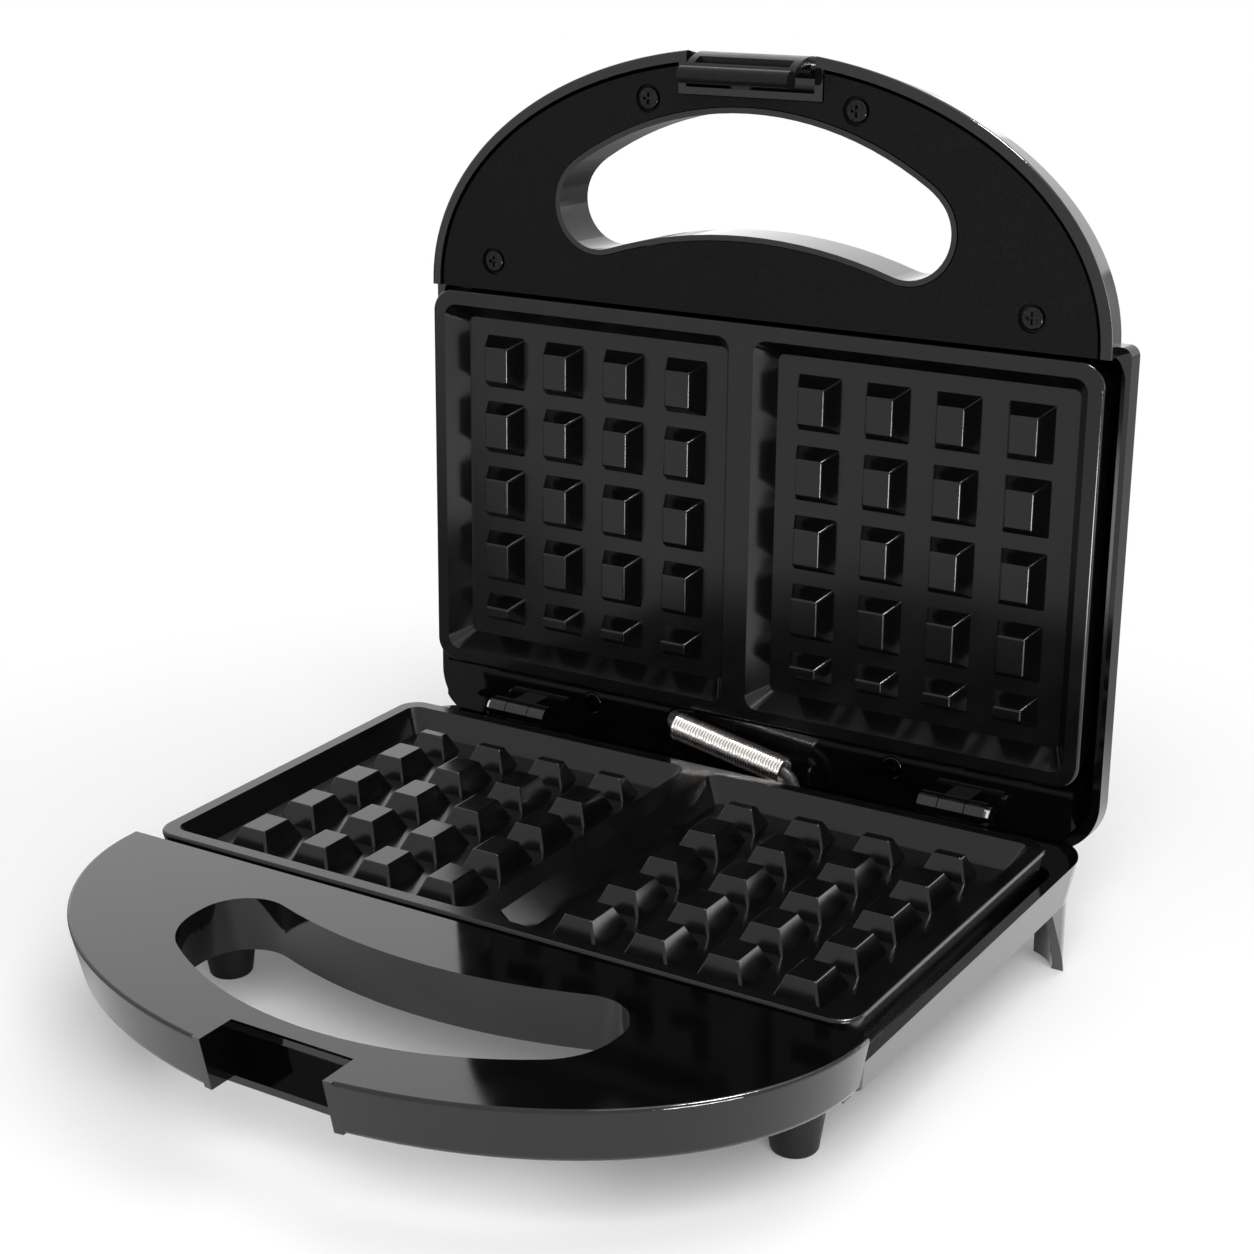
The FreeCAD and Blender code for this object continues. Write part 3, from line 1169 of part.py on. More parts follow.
def biarc(start, start_way, end, end_way):
    """Two arcs that join two points and are tangent to a direction at each."""
    chord = end - start
    both = start_way + end_way
    spread = 2 * (1 - start_way.dot(end_way))
    along = chord.dot(both)
    reach = (-along + math.sqrt(along ** 2 + spread * chord.dot(chord))) / spread
    join = (start + start_way * reach + end - end_way * reach) * 0.5
    way = (end - end_way * reach) - (start + start_way * reach)
    way.normalize()
    return [arc_from(start, start_way, join), arc_from(join, way, end)]


def spring_frame():
    """Start and direction of the coil's axis, and the two directions square to it."""
    points = lead_points()
    axis = points[2] - points[1]
    length = axis.Length - 2 * SPRING_END_BEND
    axis.normalize()
    start = points[1] + axis * SPRING_END_BEND
    down = Vector(0, 0, -1)
    across_axis = down - axis * down.dot(axis)
    across_axis.normalize()
    return start, axis, length, across_axis, axis.cross(across_axis)


def spring_stations():
    """Points and tangents every half turn, from the base's ledge to the open lid's hinge plate."""
    start, axis, length, first, second = spring_frame()
    lid_out = opened(Vector(0, 0, -1)) - opened(Vector(0, 0, 0))
    lid_side = lid_out * -1
    lid_side = lid_side - axis * lid_side.dot(axis)
    lid_side.normalize()
    last_phase = math.atan2(lid_side.dot(second), lid_side.dot(first)) % (2 * math.pi)
    turns = math.floor(length / SPRING_PITCH)
    sweep = 2 * math.pi * turns + last_phase
    halves = round(sweep / math.pi)
    climb = length / sweep
    stations = []
    for step in range(halves + 1):
        angle = sweep * step / halves
        out = first * math.cos(angle) + second * math.sin(angle)
        way = (second * math.cos(angle) - first * math.sin(angle)) * SPRING_R + axis * climb
        way.normalize()
        stations.append((start + axis * (climb * angle) + out * SPRING_R, way))
    return stations


def lead_spring():
    """One wire wound round the lead, its two ends turned square into the ledge and the hinge plate."""
    stations = spring_stations()
    wire_d = 2 * SPRING_WIRE_R
    lid_out = opened(Vector(0, 0, -1)) - opened(Vector(0, 0, 0))
    low, low_way = stations[0]
    high, high_way = stations[-1]
    base_gap = low.z - BASE_LEDGE_Z
    lid_face = opened(Vector(0, 0, HINGE_PLATE_Z))
    lid_gap = (high - lid_face).dot(lid_out)
    foot = low - low_way * (base_gap - wire_d) - Vector(0, 0, base_gap)
    foot_bend = foot + Vector(0, 0, wire_d)
    head = high + high_way * (lid_gap - wire_d) - lid_out * lid_gap
    head = head - lid_out * (head - lid_face).dot(lid_out)
    head_bend = head + lid_out * wire_d
    edges = [line(foot, foot_bend)]
    edges += biarc(foot_bend, Vector(0, 0, 1), low, low_way)
    for (here, way), (there, there_way) in zip(stations, stations[1:]):
        edges += biarc(here, way, there, there_way)
    edges += biarc(high, high_way, head_bend, lid_out * -1)
    edges.append(line(head_bend, head))
    path = Part.Wire(edges)
    section = Part.Wire([Part.makeCircle(SPRING_WIRE_R, foot, Vector(0, 0, 1))])
    coil = path.makePipeShell([section], True, False)
    plain = math.pi * SPRING_WIRE_R ** 2 * path.Length
    gap = least_gap(edges)
    print("spring volume over section times length:", round(coil.Volume / plain, 4))
    print("spring turns:", (len(stations) - 1) / 2)
    print("spring least gap:", round(gap, 3), "fine" if gap > SPRING_LEAST_GAP else "TOO SMALL")
    return coil


def least_gap(edges):
    """Smallest clear distance between stretches of wire that are more than half a turn apart."""
    points = []
    run = 0.0
    for edge in edges:
        for point in edge.discretize(7)[:-1]:
            points.append((run + edge.Length * (len(points) % 6) / 6, point))
        run += edge.Length
    half_turn = math.pi * SPRING_R
    least = FAR
    for index, (here_run, here) in enumerate(points):
        for there_run, there in points[index + 1:index + 120]:
            if there_run - here_run > half_turn:
                least = min(least, here.distanceToPoint(there))
    return least - 2 * SPRING_WIRE_R


# Assembly

def base_nodes():
    return {
        "base_housing": [base_housing()],
        "base_handle_cover": [base_handle_cover()],
        "base_handle_screws": base_handle_screws(),
        "base_bottom_cover": [base_bottom_cover()],
        "bottom_cover_screws": bottom_cover_screws(),
        "front_feet": front_feet(),
        "lower_plate": [grid_plate()],
        "lower_plate_screws": lower_plate_screws(),
        "lower_heating_element": [heating_element()],
        "lower_element_clips": element_clips(),
        "lower_reflector": [reflector()],
        "thermostat": [thermostat()],
        "thermal_fuse": [thermal_fuse()],
        "fuse_strap": [fuse_strap()],
        "terminal_block": [terminal_block()],
        "cord_bush": [cord_bush()],
        "hinge_pins": hinge_pins(),
        "lid_lead": [lid_lead()],
        "lead_spring": [lead_spring()],
    }


def lid_nodes():
    return {
        "lid_housing": [lid_housing()],
        "lid_top_panel": [lid_top_panel()],
        "lid_handle_cover": [lid_handle_cover()],
        "handle_cover_screws": handle_cover_screws(),
        "lid_hinge_plate": [lid_hinge_plate()],
        "hinge_plate_screws": hinge_plate_screws(),
        "upper_plate": [to_lid(grid_plate())],
        "upper_plate_screws": upper_plate_screws(),
        "upper_heating_element": [to_lid(heating_element())],
        "upper_element_clips": [to_lid(clip) for clip in element_clips()],
        "upper_reflector": [to_lid(reflector())],
        "lamp_holder": [lamp_holder()],
        "neon_lamps": neon_lamps(),
        "power_lamp_lens": [lamp_lens(-1)],
        "ready_lamp_lens": [lamp_lens(1)],
        "latch": [latch()],
        "latch_pin": [latch_pin()],
    }


def main():
    os.makedirs("parts", exist_ok=True)
    nodes = base_nodes()
    for name, solids in lid_nodes().items():
        for solid in solids:
            solid.rotate(Vector(0, HINGE_Y, HINGE_Z), Vector(1, 0, 0), -OPEN_ANGLE)
        nodes[name] = solids
    whole = FreeCAD.BoundBox()
    for solids in nodes.values():
        for solid in solids:
            whole.add(solid.optimalBoundingBox())
    shift = Vector(0, -whole.Center.y, 0)
    for name, solids in nodes.items():
        for solid in solids:
            solid.translate(shift)
        shape = solids[0] if len(solids) == 1 else Part.makeCompound(solids)
        shape.exportStep("parts/" + name + ".step")
        state = "" if shape.isValid() else "NOT VALID"
        print(name, len(shape.Solids), "solids", round(shape.Volume), "mm3", state)
    print("box", round(whole.XLength, 2), round(whole.YLength, 2), round(whole.ZLength, 2))
    print("moved along Y by", round(shift.y, 4))
    pivot = opened(Vector(0, -LATCH_PIVOT_Y, LATCH_Z)) + shift
    print("lid axis", round(HINGE_Y + shift.y, 4), round(HINGE_Z, 4))
    print("latch axis", round(pivot.y, 4), round(pivot.z, 4))


main()
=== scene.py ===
# %% [markdown]
# # A two-slice waffle maker, dressed for its picture
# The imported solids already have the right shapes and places, in metres. This file only adds what
# solids lack: finishes, the wound spring and its lead, a floor, lamps and a camera. Every piece stays
# in the frame of the solids, so nothing here is moved or scaled to fit.

# %% Load the solids
import bpy
import math
import numpy as np
from mathutils import Matrix, Vector


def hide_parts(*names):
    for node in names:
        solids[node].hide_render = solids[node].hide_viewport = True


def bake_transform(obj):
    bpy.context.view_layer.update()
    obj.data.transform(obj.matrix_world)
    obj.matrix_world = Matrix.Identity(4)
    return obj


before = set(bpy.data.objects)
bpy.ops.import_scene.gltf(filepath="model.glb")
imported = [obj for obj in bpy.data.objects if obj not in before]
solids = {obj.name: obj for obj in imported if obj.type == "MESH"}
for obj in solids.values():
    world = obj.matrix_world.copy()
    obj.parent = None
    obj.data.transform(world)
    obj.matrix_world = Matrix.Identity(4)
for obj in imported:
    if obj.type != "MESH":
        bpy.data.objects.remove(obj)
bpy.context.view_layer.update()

# %% [markdown]
# ## Camera
# A product photograph is taken from a step away with a long lens, so that upright edges stay almost
# parallel. The camera here could be aimed with a tracking constraint, but a turn about the view axis
# is then awkward. Three angles, a distance and a target are plainer: the view direction comes from
# yaw and pitch, and roll turns the two directions across it.

# %% Camera
CAMERA_YAW = math.radians(32.674)
CAMERA_PITCH = math.radians(19.180)
CAMERA_ROLL = math.radians(-0.842)
CAMERA_DISTANCE = 0.65853
CAMERA_TARGET = Vector((-0.00124, 0.03373, 0.09797))
FOCAL_PIXELS = 2388.68
IMAGE_PIXELS = 1254
SENSOR_MM = 36.0
NEAREST_SEEN = 0.01


def aimed_camera():
    """Right, up and backward directions as matrix columns, the place as the last column."""
    flat = math.cos(CAMERA_PITCH)
    ahead = Vector((-math.sin(CAMERA_YAW) * flat, math.cos(CAMERA_YAW) * flat, -math.sin(CAMERA_PITCH)))
    level = Vector((math.cos(CAMERA_YAW), math.sin(CAMERA_YAW), 0))
    upright = level.cross(ahead)
    right = level * math.cos(CAMERA_ROLL) + upright * math.sin(CAMERA_ROLL)
    up = upright * math.cos(CAMERA_ROLL) - level * math.sin(CAMERA_ROLL)
    lens = bpy.data.cameras.new("camera")
    lens.sensor_width = SENSOR_MM
    lens.lens = FOCAL_PIXELS / IMAGE_PIXELS * SENSOR_MM
    lens.clip_start = NEAREST_SEEN
    camera = bpy.data.objects.new("camera", lens)
    turn = Matrix((right, up, -ahead)).transposed().to_4x4()
    camera.matrix_world = Matrix.Translation(CAMERA_TARGET - ahead * CAMERA_DISTANCE) @ turn
    bpy.context.scene.collection.objects.link(camera)
    bpy.context.scene.camera = camera
    return camera


camera = aimed_camera()
print("camera at", [round(v, 3) for v in camera.location], "lens", round(camera.data.lens, 1), "mm")

# %% [markdown]
# ## White room
# The picture shows the appliance on a seamless white sheet. A white world gives that background and
# also the broad grey reflections on the black shells, which are mirrors at a low angle. Only rays that
# the camera, gloss or glass sends out see full white: the light that falls on the object is under half
# of that, so that the lamps can still model it.

# %% World
ROOM_LIGHT = 0.38
WHITE = (1, 1, 1, 1)
SEEING_RAYS = ("Is Camera Ray", "Is Glossy Ray", "Is Transmission Ray")


def white_room():
    """Full white to rays that look, and the level of the room's light to rays that light."""
    world = bpy.data.worlds.new("white_room")
    bpy.context.scene.world = world
    world.use_nodes = True
    tree = world.node_tree
    seen = any_of_rays(tree, SEEING_RAYS)
    level = tree.nodes.new("ShaderNodeMapRange")
    level.inputs["To Min"].default_value = ROOM_LIGHT
    level.inputs["To Max"].default_value = 1.0
    tree.links.new(seen, level.inputs["Value"])
    tree.links.new(level.outputs["Result"], tree.nodes["Background"].inputs["Strength"])
    tree.nodes["Background"].inputs["Color"].default_value = WHITE


def any_of_rays(tree, kinds):
    """One where the ray is of any of the kinds named, else nought."""
    path = tree.nodes.new("ShaderNodeLightPath")
    total = path.outputs[kinds[0]]
    for kind in kinds[1:]:
        either = tree.nodes.new("ShaderNodeMath")
        either.operation = "MAXIMUM"
        tree.links.new(total, either.inputs[0])
        tree.links.new(path.outputs[kind], either.inputs[1])
        total = either.outputs[0]
    return total


white_room()
print("white room, light", ROOM_LIGHT)

# %% [markdown]
# ## Floor
# A plane that takes shadows near the object and turns to plain white further out, so that no edge of
# it shows. The change goes by the distance from the origin, in the floor's own coordinates. A backdrop
# that curves up is the usual way, but a flat sheet has no bend for gloss to show.

# %% Floor sheet
FLOOR_HALF = 6.0


def flat_sheet(name, half):
    """Four corners at plus and minus half along X and Y, at height nought."""
    corners = np.array([(-1, -1, 0), (1, -1, 0), (1, 1, 0), (-1, 1, 0)], float) * half
    mesh = bpy.data.meshes.new(name)
    mesh.from_pydata(corners.tolist(), [], [(0, 1, 2, 3)])
    sheet = bpy.data.objects.new(name, mesh)
    bpy.context.scene.collection.objects.link(sheet)
    return sheet


floor = flat_sheet("floor", FLOOR_HALF)
print("floor", 2 * FLOOR_HALF, "m across")

# %% [markdown]
# ## Sums of shaders
# A finish that changes from place to place is a sum: shaders are blended by a share, and a share is a
# product of smooth steps. With a helper for each of these, the recipe itself is a few lines.

# %% Helpers for the paper
def smooth_step(tree, value, span, ends=(0, 1)):
    """The first end below the span, the second above it, and a smooth change between."""
    climb = tree.nodes.new("ShaderNodeMapRange")
    climb.interpolation_type = "SMOOTHSTEP"
    climb.inputs["From Min"].default_value, climb.inputs["From Max"].default_value = span
    climb.inputs["To Min"].default_value, climb.inputs["To Max"].default_value = ends
    tree.links.new(value, climb.inputs["Value"])
    return climb.outputs["Result"]


def product(tree, *factors):
    """All the factors multiplied."""
    total = factors[0]
    for factor in factors[1:]:
        times = tree.nodes.new("ShaderNodeMath")
        times.operation = "MULTIPLY"
        tree.links.new(total, times.inputs[0])
        tree.links.new(factor, times.inputs[1])
        total = times.outputs[0]
    return total


def blend_of(tree, share, first, second):
    """A shader that goes from the first to the second as the share goes from nought to one."""
    mix = tree.nodes.new("ShaderNodeMixShader")
    tree.links.new(share, mix.inputs["Fac"])
    tree.links.new(first, mix.inputs[1])
    tree.links.new(second, mix.inputs[2])
    return mix.outputs[0]


def plain_shader(tree, kind, colour):
    """A matt or a shining shader of one colour, as kind says."""
    shader = tree.nodes.new(kind)
    shader.inputs["Color"].default_value = colour
    return shader


print("paper helpers ready")

# %% [markdown]
# ## Paper on the floor
# A black gloss wall shows only what it mirrors, and the right-hand walls mirror the floor beside them,
# which is brightly lit in the picture. There the paper glows a little, for gloss alone: a painted
# bright reflection. Beyond a slanting line past the object, to the left and behind, it is painted
# darker for gloss alone, a painted shade in the reflections like the one a black flag laid on the sheet
# would give.

# %% Floor paper
PAPER_GREY = (0.86, 0.86, 0.86, 1)
BLACK = (0, 0, 0, 1)
SHADOW_REACH = (0.15, 0.36)
SHADOW_LIFT = 0.12
BRIGHT_FROM_X = (0.06, 0.16)
BRIGHT_FROM_Y = (-0.12, 0.02)
BRIGHT_GLOW = 0.8
DIM_BELOW_SLANT = (-0.10, -0.02)
DIM_SHARE = 0.75


def matt_to_white(tree, place):
    """Matt paper near the origin, and shining white far from it for rays that look."""
    matt = plain_shader(tree, "ShaderNodeBsdfDiffuse", PAPER_GREY)
    white = plain_shader(tree, "ShaderNodeEmission", WHITE)
    far = tree.nodes.new("ShaderNodeVectorMath")
    far.operation = "LENGTH"
    tree.links.new(place, far.inputs[0])
    outward = smooth_step(tree, far.outputs["Value"], SHADOW_REACH, (SHADOW_LIFT, 1))
    share = product(tree, outward, any_of_rays(tree, SEEING_RAYS))
    return blend_of(tree, share, matt.outputs[0], white.outputs[0])


def with_glow(tree, along, gloss, paper):
    """The paper with a painted glow at the right, which only gloss sees: a painted bright reflection."""
    glow = plain_shader(tree, "ShaderNodeEmission", WHITE)
    right = smooth_step(tree, along.outputs["X"], BRIGHT_FROM_X)
    behind = smooth_step(tree, along.outputs["Y"], BRIGHT_FROM_Y, (0, BRIGHT_GLOW))
    # Painted highlight: emission that only gloss rays see, so the right-hand black walls show a painted
    # bright reflection.
    tree.links.new(product(tree, gloss, right, behind), glow.inputs["Strength"])
    both = tree.nodes.new("ShaderNodeAddShader")
    tree.links.new(paper, both.inputs[0])
    tree.links.new(glow.outputs[0], both.inputs[1])
    return both.outputs[0]


def with_gloss_dimming(tree, along, gloss, paper):
    """The paper painted darker where X less Y is low, which only gloss sees: a painted shade in the
    reflections.
    """
    black = plain_shader(tree, "ShaderNodeBsdfDiffuse", BLACK)
    slant = tree.nodes.new("ShaderNodeMath")
    slant.operation = "SUBTRACT"
    tree.links.new(along.outputs["X"], slant.inputs[0])
    tree.links.new(along.outputs["Y"], slant.inputs[1])
    # Painted shade: the paper turns darker for gloss rays only, so reflections at the left and behind
    # are painted darker.
    dimming_share = smooth_step(tree, slant.outputs[0], DIM_BELOW_SLANT, (DIM_SHARE, 0))
    return blend_of(tree, product(tree, gloss, dimming_share), paper, black.outputs[0])


def floor_paper():
    finish = bpy.data.materials.new("floor_paper")
    finish.use_nodes = True
    tree = finish.node_tree
    tree.nodes.clear()
    place = tree.nodes.new("ShaderNodeTexCoord").outputs["Object"]
    along = tree.nodes.new("ShaderNodeSeparateXYZ")
    tree.links.new(place, along.inputs[0])
    gloss = any_of_rays(tree, ("Is Glossy Ray",))
    paper = with_glow(tree, along, gloss, matt_to_white(tree, place))
    out = tree.nodes.new("ShaderNodeOutputMaterial")
    tree.links.new(with_gloss_dimming(tree, along, gloss, paper), out.inputs["Surface"])
    return finish


floor.data.materials.append(floor_paper())
print("paper turns white", SHADOW_REACH[1], "m from the origin")

# %% [markdown]
# ## Lamps
# One soft box hangs overhead and gives the fine bright lines along the upper edges. A second stands
# near the camera, so that the floor is light right up to the front and the shadow lies under the body.
# It is kept out of the gloss. The rest are cards that only gloss can see, as a photographer sets them
# up round black plastic: a wide one behind at the left for the handle's top, a low one behind at the
# right for the hole in the lid's handle, and two small strong ones for the thin glints on the studs.

# %% Lamps
LAMPS = {
    "overhead": dict(place=(0.30, 0.20, 1.25), aim=(0, 0, 0.1), size=(0.9, 0.8), watts=4.0),
    "front_box": dict(place=(0.64, -0.81, 0.84), aim=(0, 0, 0.05), size=(1.0, 0.75), watts=20.0),
}
CARDS = {
    "back_card": dict(place=(-1.3, 1.4, 0.7), aim=(0, 0, 0.1), size=(2.2, 2.2), watts=9.9),
    "side_card": dict(place=(0.85, 1.05, 0.25), aim=(0, 0.1, 0.2), size=(0.4, 0.8), watts=3.8),
    "low_glint": dict(place=(0.36, -0.22, 0.01), aim=(0, 0.1, 0.15), size=(0.16, 0.12), watts=2.6),
    "top_glint": dict(place=(0.30, 0.12, 1.0), aim=(0, 0.1, 0.15), size=(0.2, 0.2), watts=14.0),
}
OUT_OF_GLOSS = ["front_box"]


def soft_box(name, place, aim, size, watts):
    """An evenly bright rectangle that faces its aim and that the camera doesn't see."""
    light = bpy.data.lights.new(name, "AREA")
    light.shape = "RECTANGLE"
    light.size, light.size_y = size
    light.energy = watts
    lamp = bpy.data.objects.new(name, light)
    lamp.location = place
    lamp.rotation_euler = (Vector(aim) - Vector(place)).to_track_quat("-Z", "Y").to_euler()
    lamp.visible_camera = False
    lamp.visible_diffuse = name not in CARDS
    lamp.visible_glossy = name not in OUT_OF_GLOSS
    bpy.context.scene.collection.objects.link(lamp)
    return lamp


lamps = [soft_box(name, **setting) for name, setting in {**LAMPS, **CARDS}.items()]
print(len(lamps), "lamps")

# %% [markdown]
# ## How a finish is put together
# Each finish is one Principled shader whose even values sit on its own sockets. What varies over the
# surface comes from noise that reads Object coordinates, in metres, so a grain has a real size. Four
# small helpers are enough: noise of a given grain, a range for a number, a range for a colour, and a
# relief.

# %% Helpers for finishes
EVEN = (1, 1, 1)


def start_finish(name, **even_values):
    """A material with one shader. Even values are given by socket name, with _ for a blank."""
    finish = bpy.data.materials.new(name)
    finish.use_nodes = True
    shader = finish.node_tree.nodes["Principled BSDF"]
    for socket, value in even_values.items():
        shader.inputs[socket.replace("_", " ")].default_value = value
    return finish


def grain(finish, size, detail, stretch=EVEN):
    """Noise from 0 to 1 whose lumps are about size metres across, longer where stretch is under 1."""
    tree = finish.node_tree
    place = tree.nodes.new("ShaderNodeTexCoord").outputs["Object"]
    scale = tree.nodes.new("ShaderNodeMapping")
    scale.inputs["Scale"].default_value = stretch
    lumps = tree.nodes.new("ShaderNodeTexNoise")
    lumps.inputs["Scale"].default_value = 1 / size
    lumps.inputs["Detail"].default_value = detail
    tree.links.new(place, scale.inputs["Vector"])
    tree.links.new(scale.outputs["Vector"], lumps.inputs["Vector"])
    return lumps.outputs["Fac"]


def vary(finish, socket, pattern, low, high, start=0.35, stop=0.65):
    """Drives a number of the shader from low to high as the pattern goes from start to stop."""
    tree = finish.node_tree
    span = tree.nodes.new("ShaderNodeMapRange")
    span.inputs["From Min"].default_value = start
    span.inputs["From Max"].default_value = stop
    span.inputs["To Min"].default_value = low
    span.inputs["To Max"].default_value = high
    tree.links.new(pattern, span.inputs["Value"])
    tree.links.new(span.outputs["Result"], tree.nodes["Principled BSDF"].inputs[socket])


def tint(finish, pattern, dark, light, start=0.35, stop=0.65):
    """Drives the base colour from dark to light as the pattern goes from start to stop."""
    tree = finish.node_tree
    ramp = tree.nodes.new("ShaderNodeValToRGB")
    ramp.color_ramp.elements[0].position = start
    ramp.color_ramp.elements[1].position = stop
    ramp.color_ramp.elements[0].color = (*dark, 1)
    ramp.color_ramp.elements[1].color = (*light, 1)
    tree.links.new(pattern, ramp.inputs["Fac"])
    tree.links.new(ramp.outputs["Color"], tree.nodes["Principled BSDF"].inputs["Base Color"])


def relief(finish, pattern, height, strength):
    """Raises the surface by up to height metres where the pattern is 1, in the shading only."""
    tree = finish.node_tree
    bump = tree.nodes.new("ShaderNodeBump")
    bump.inputs["Distance"].default_value = height
    bump.inputs["Strength"].default_value = strength
    tree.links.new(pattern, bump.inputs["Height"])
    tree.links.new(bump.outputs["Normal"], tree.nodes["Principled BSDF"].inputs["Normal"])


finishes = {}
print("helpers ready")

# %% [markdown]
# ## Moulded plastics
# The two shells are high-gloss black mouldings: nearly no colour of their own, and a polish that
# shows the room. A polished mould still leaves a faint unevenness of a few millimetres, and a polish
# that changes a little over centimetres. The handle covers and the bottom cover come from spark-eroded
# moulds, which give an even satin grain well under a millimetre. The latch is a shade greyer.

# %% Plastics
def three_grains(name, colours, colour_grain, polish, polish_grain, bump, bump_grain, **even_values):
    """Colour, polish and relief each follow a noise of their own, given by its size and detail."""
    finish = start_finish(name, **even_values)
    tint(finish, grain(finish, *colour_grain), *colours)
    vary(finish, "Roughness", grain(finish, *polish_grain), *polish)
    relief(finish, grain(finish, *bump_grain), *bump)
    return finish


PLASTICS = {
    "gloss_shell": dict(
        colours=[(0.0009, 0.0009, 0.00095), (0.0016, 0.0016, 0.0017)], colour_grain=(0.012, 2.0),
        polish=(0.045, 0.085), polish_grain=(0.02, 4.0),
        bump=(0.00002, 0.05), bump_grain=(0.0035, 2.0),
        IOR=1.5),
    "satin_panel": dict(
        colours=[(0.0018, 0.0018, 0.0019), (0.0042, 0.0042, 0.0044)], colour_grain=(0.0006, 3.0),
        polish=(0.36, 0.46), polish_grain=(0.015, 3.0),
        bump=(0.00003, 0.35), bump_grain=(0.0005, 2.0),
        IOR=1.45, Specular_IOR_Level=0.12),
    "latch_plastic": dict(
        colours=[(0.0025, 0.0025, 0.0026), (0.005, 0.005, 0.0052)], colour_grain=(0.0008, 3.0),
        polish=(0.26, 0.36), polish_grain=(0.006, 3.0),
        bump=(0.00002, 0.3), bump_grain=(0.0006, 2.0),
        IOR=1.48, Specular_IOR_Level=0.2),
}
for name, setting in PLASTICS.items():
    finishes[name] = three_grains(name, **setting)
print("plastics", list(finishes))

# %% [markdown]
# ## Non-stick coat
# The grid plates are aluminium castings with a sprayed and baked coat. It dries to a satin black
# with fine specks of filler, a slight orange peel, and a shine that changes a little from place to
# place. Noise at three sizes gives those three effects.

# %% Non-stick coat
COAT_BLACK = (0.0012, 0.0012, 0.0013)
SPECK_GREY = (0.0042, 0.0042, 0.0044)
SPECK_SPREAD = (0.45, 0.72)
finishes["nonstick"] = three_grains(
    "nonstick",
    colours=[COAT_BLACK, SPECK_GREY, *SPECK_SPREAD], colour_grain=(0.0004, 3.0),
    polish=(0.15, 0.19), polish_grain=(0.012, 3.0),
    bump=(0.00004, 0.05), bump_grain=(0.0011, 2.0),
    IOR=1.5, Specular_IOR_Level=0.36)
print("non-stick coat ready")

# %% [markdown]
# ## Metals
# All metals are fully metallic shaders that differ in colour, polish and grain. Blackened screws are
# dark and fairly polished. The reflectors are rolled sheet, whose marks are noise that is stretched
# along one axis. The heater sheath is dull and a little brown from heat, and pins are chromed.

# %% Metals
ROLLED = (0.08, 1.0, 1.0)
MARK_DETAIL = 3.0
MARK_SPREAD = (0.3, 0.7)
MARK_RELIEF = (0.00001, 0.3)


def metal(name, dark, light, polish, mark_size, stretch=EVEN):
    """Marks of one size go from dark to light and from the first polish to the second."""
    finish = start_finish(name, Metallic=1.0)
    marks = grain(finish, mark_size, MARK_DETAIL, stretch)
    tint(finish, marks, dark, light, *MARK_SPREAD)
    vary(finish, "Roughness", marks, *polish)
    relief(finish, marks, *MARK_RELIEF)
    return finish


METALS = {
    "black_screw": dict(
        dark=(0.014, 0.014, 0.0145), light=(0.03, 0.03, 0.031), polish=(0.12, 0.2), mark_size=0.0008),
    "steel": dict(
        dark=(0.42, 0.43, 0.45), light=(0.62, 0.62, 0.64), polish=(0.25, 0.38), mark_size=0.0012),
    "element_steel": dict(
        dark=(0.12, 0.10, 0.085), light=(0.24, 0.22, 0.20), polish=(0.38, 0.52), mark_size=0.004),
    "bright_sheet": dict(
        dark=(0.62, 0.63, 0.65), light=(0.78, 0.78, 0.80), polish=(0.2, 0.34), mark_size=0.001,
        stretch=ROLLED),
    "pin_chrome": dict(
        dark=(0.55, 0.55, 0.57), light=(0.68, 0.68, 0.70), polish=(0.10, 0.18), mark_size=0.0015),
    "spring_steel": dict(
        dark=(0.66, 0.63, 0.60), light=(0.88, 0.85, 0.82), polish=(0.14, 0.24), mark_size=0.0006),
}
for name, setting in METALS.items():
    finishes[name] = metal(name, **setting)
print("metals ready")

# %% [markdown]
# ## Rubber, ceramic, glass and lenses
# The feet are matt rubber with a bloom. The control bodies are pale ceramic, and the terminal block a
# natural white nylon. Lamp lenses are clear tinted plastic, so they let light through.

# %% Other finishes
def grained(name, dark, light, rough, grain_size, height, detail=3.0, strength=0.4, **even_values):
    """One noise drives all three: colour, roughness and a relief of the height given."""
    finish = start_finish(name, **even_values)
    lumps = grain(finish, grain_size, detail)
    tint(finish, lumps, dark, light)
    vary(finish, "Roughness", lumps, *rough)
    relief(finish, lumps, height, strength)
    return finish


OTHER_FINISHES = {
    "foot_rubber": dict(
        dark=(0.002, 0.002, 0.0021), light=(0.005, 0.005, 0.0052), rough=(0.45, 0.6),
        grain_size=0.0012, height=0.00005, Specular_IOR_Level=0.25),
    "control_body": dict(
        dark=(0.60, 0.56, 0.49), light=(0.70, 0.66, 0.59), rough=(0.45, 0.6),
        grain_size=0.0010, height=0.00003),
    "block_plastic": dict(
        dark=(0.72, 0.71, 0.66), light=(0.80, 0.79, 0.75), rough=(0.38, 0.5),
        grain_size=0.002, height=0.00002),
    "lamp_glass": dict(
        dark=(0.95, 0.86, 0.76), light=(1.0, 0.93, 0.85), rough=(0.03, 0.08),
        grain_size=0.002, height=0.00001, Transmission_Weight=0.9, IOR=1.5),
    "red_lens": dict(
        dark=(0.50, 0.012, 0.010), light=(0.66, 0.02, 0.015), rough=(0.06, 0.14),
        grain_size=0.002, height=0.00001, Transmission_Weight=0.35, IOR=1.49),
    "green_lens": dict(
        dark=(0.02, 0.34, 0.05), light=(0.035, 0.48, 0.08), rough=(0.06, 0.14),
        grain_size=0.002, height=0.00001, Transmission_Weight=0.35, IOR=1.49),
}
for name, setting in OTHER_FINISHES.items():
    finishes[name] = grained(name, **setting)
print("other finishes ready")

# %% [markdown]
# ## Dress the solids
# Every solid takes the finish of what it is made of. The list goes from finish to pieces, as a
# painter's schedule does, and the counts at the end tell whether a piece is missing from it.

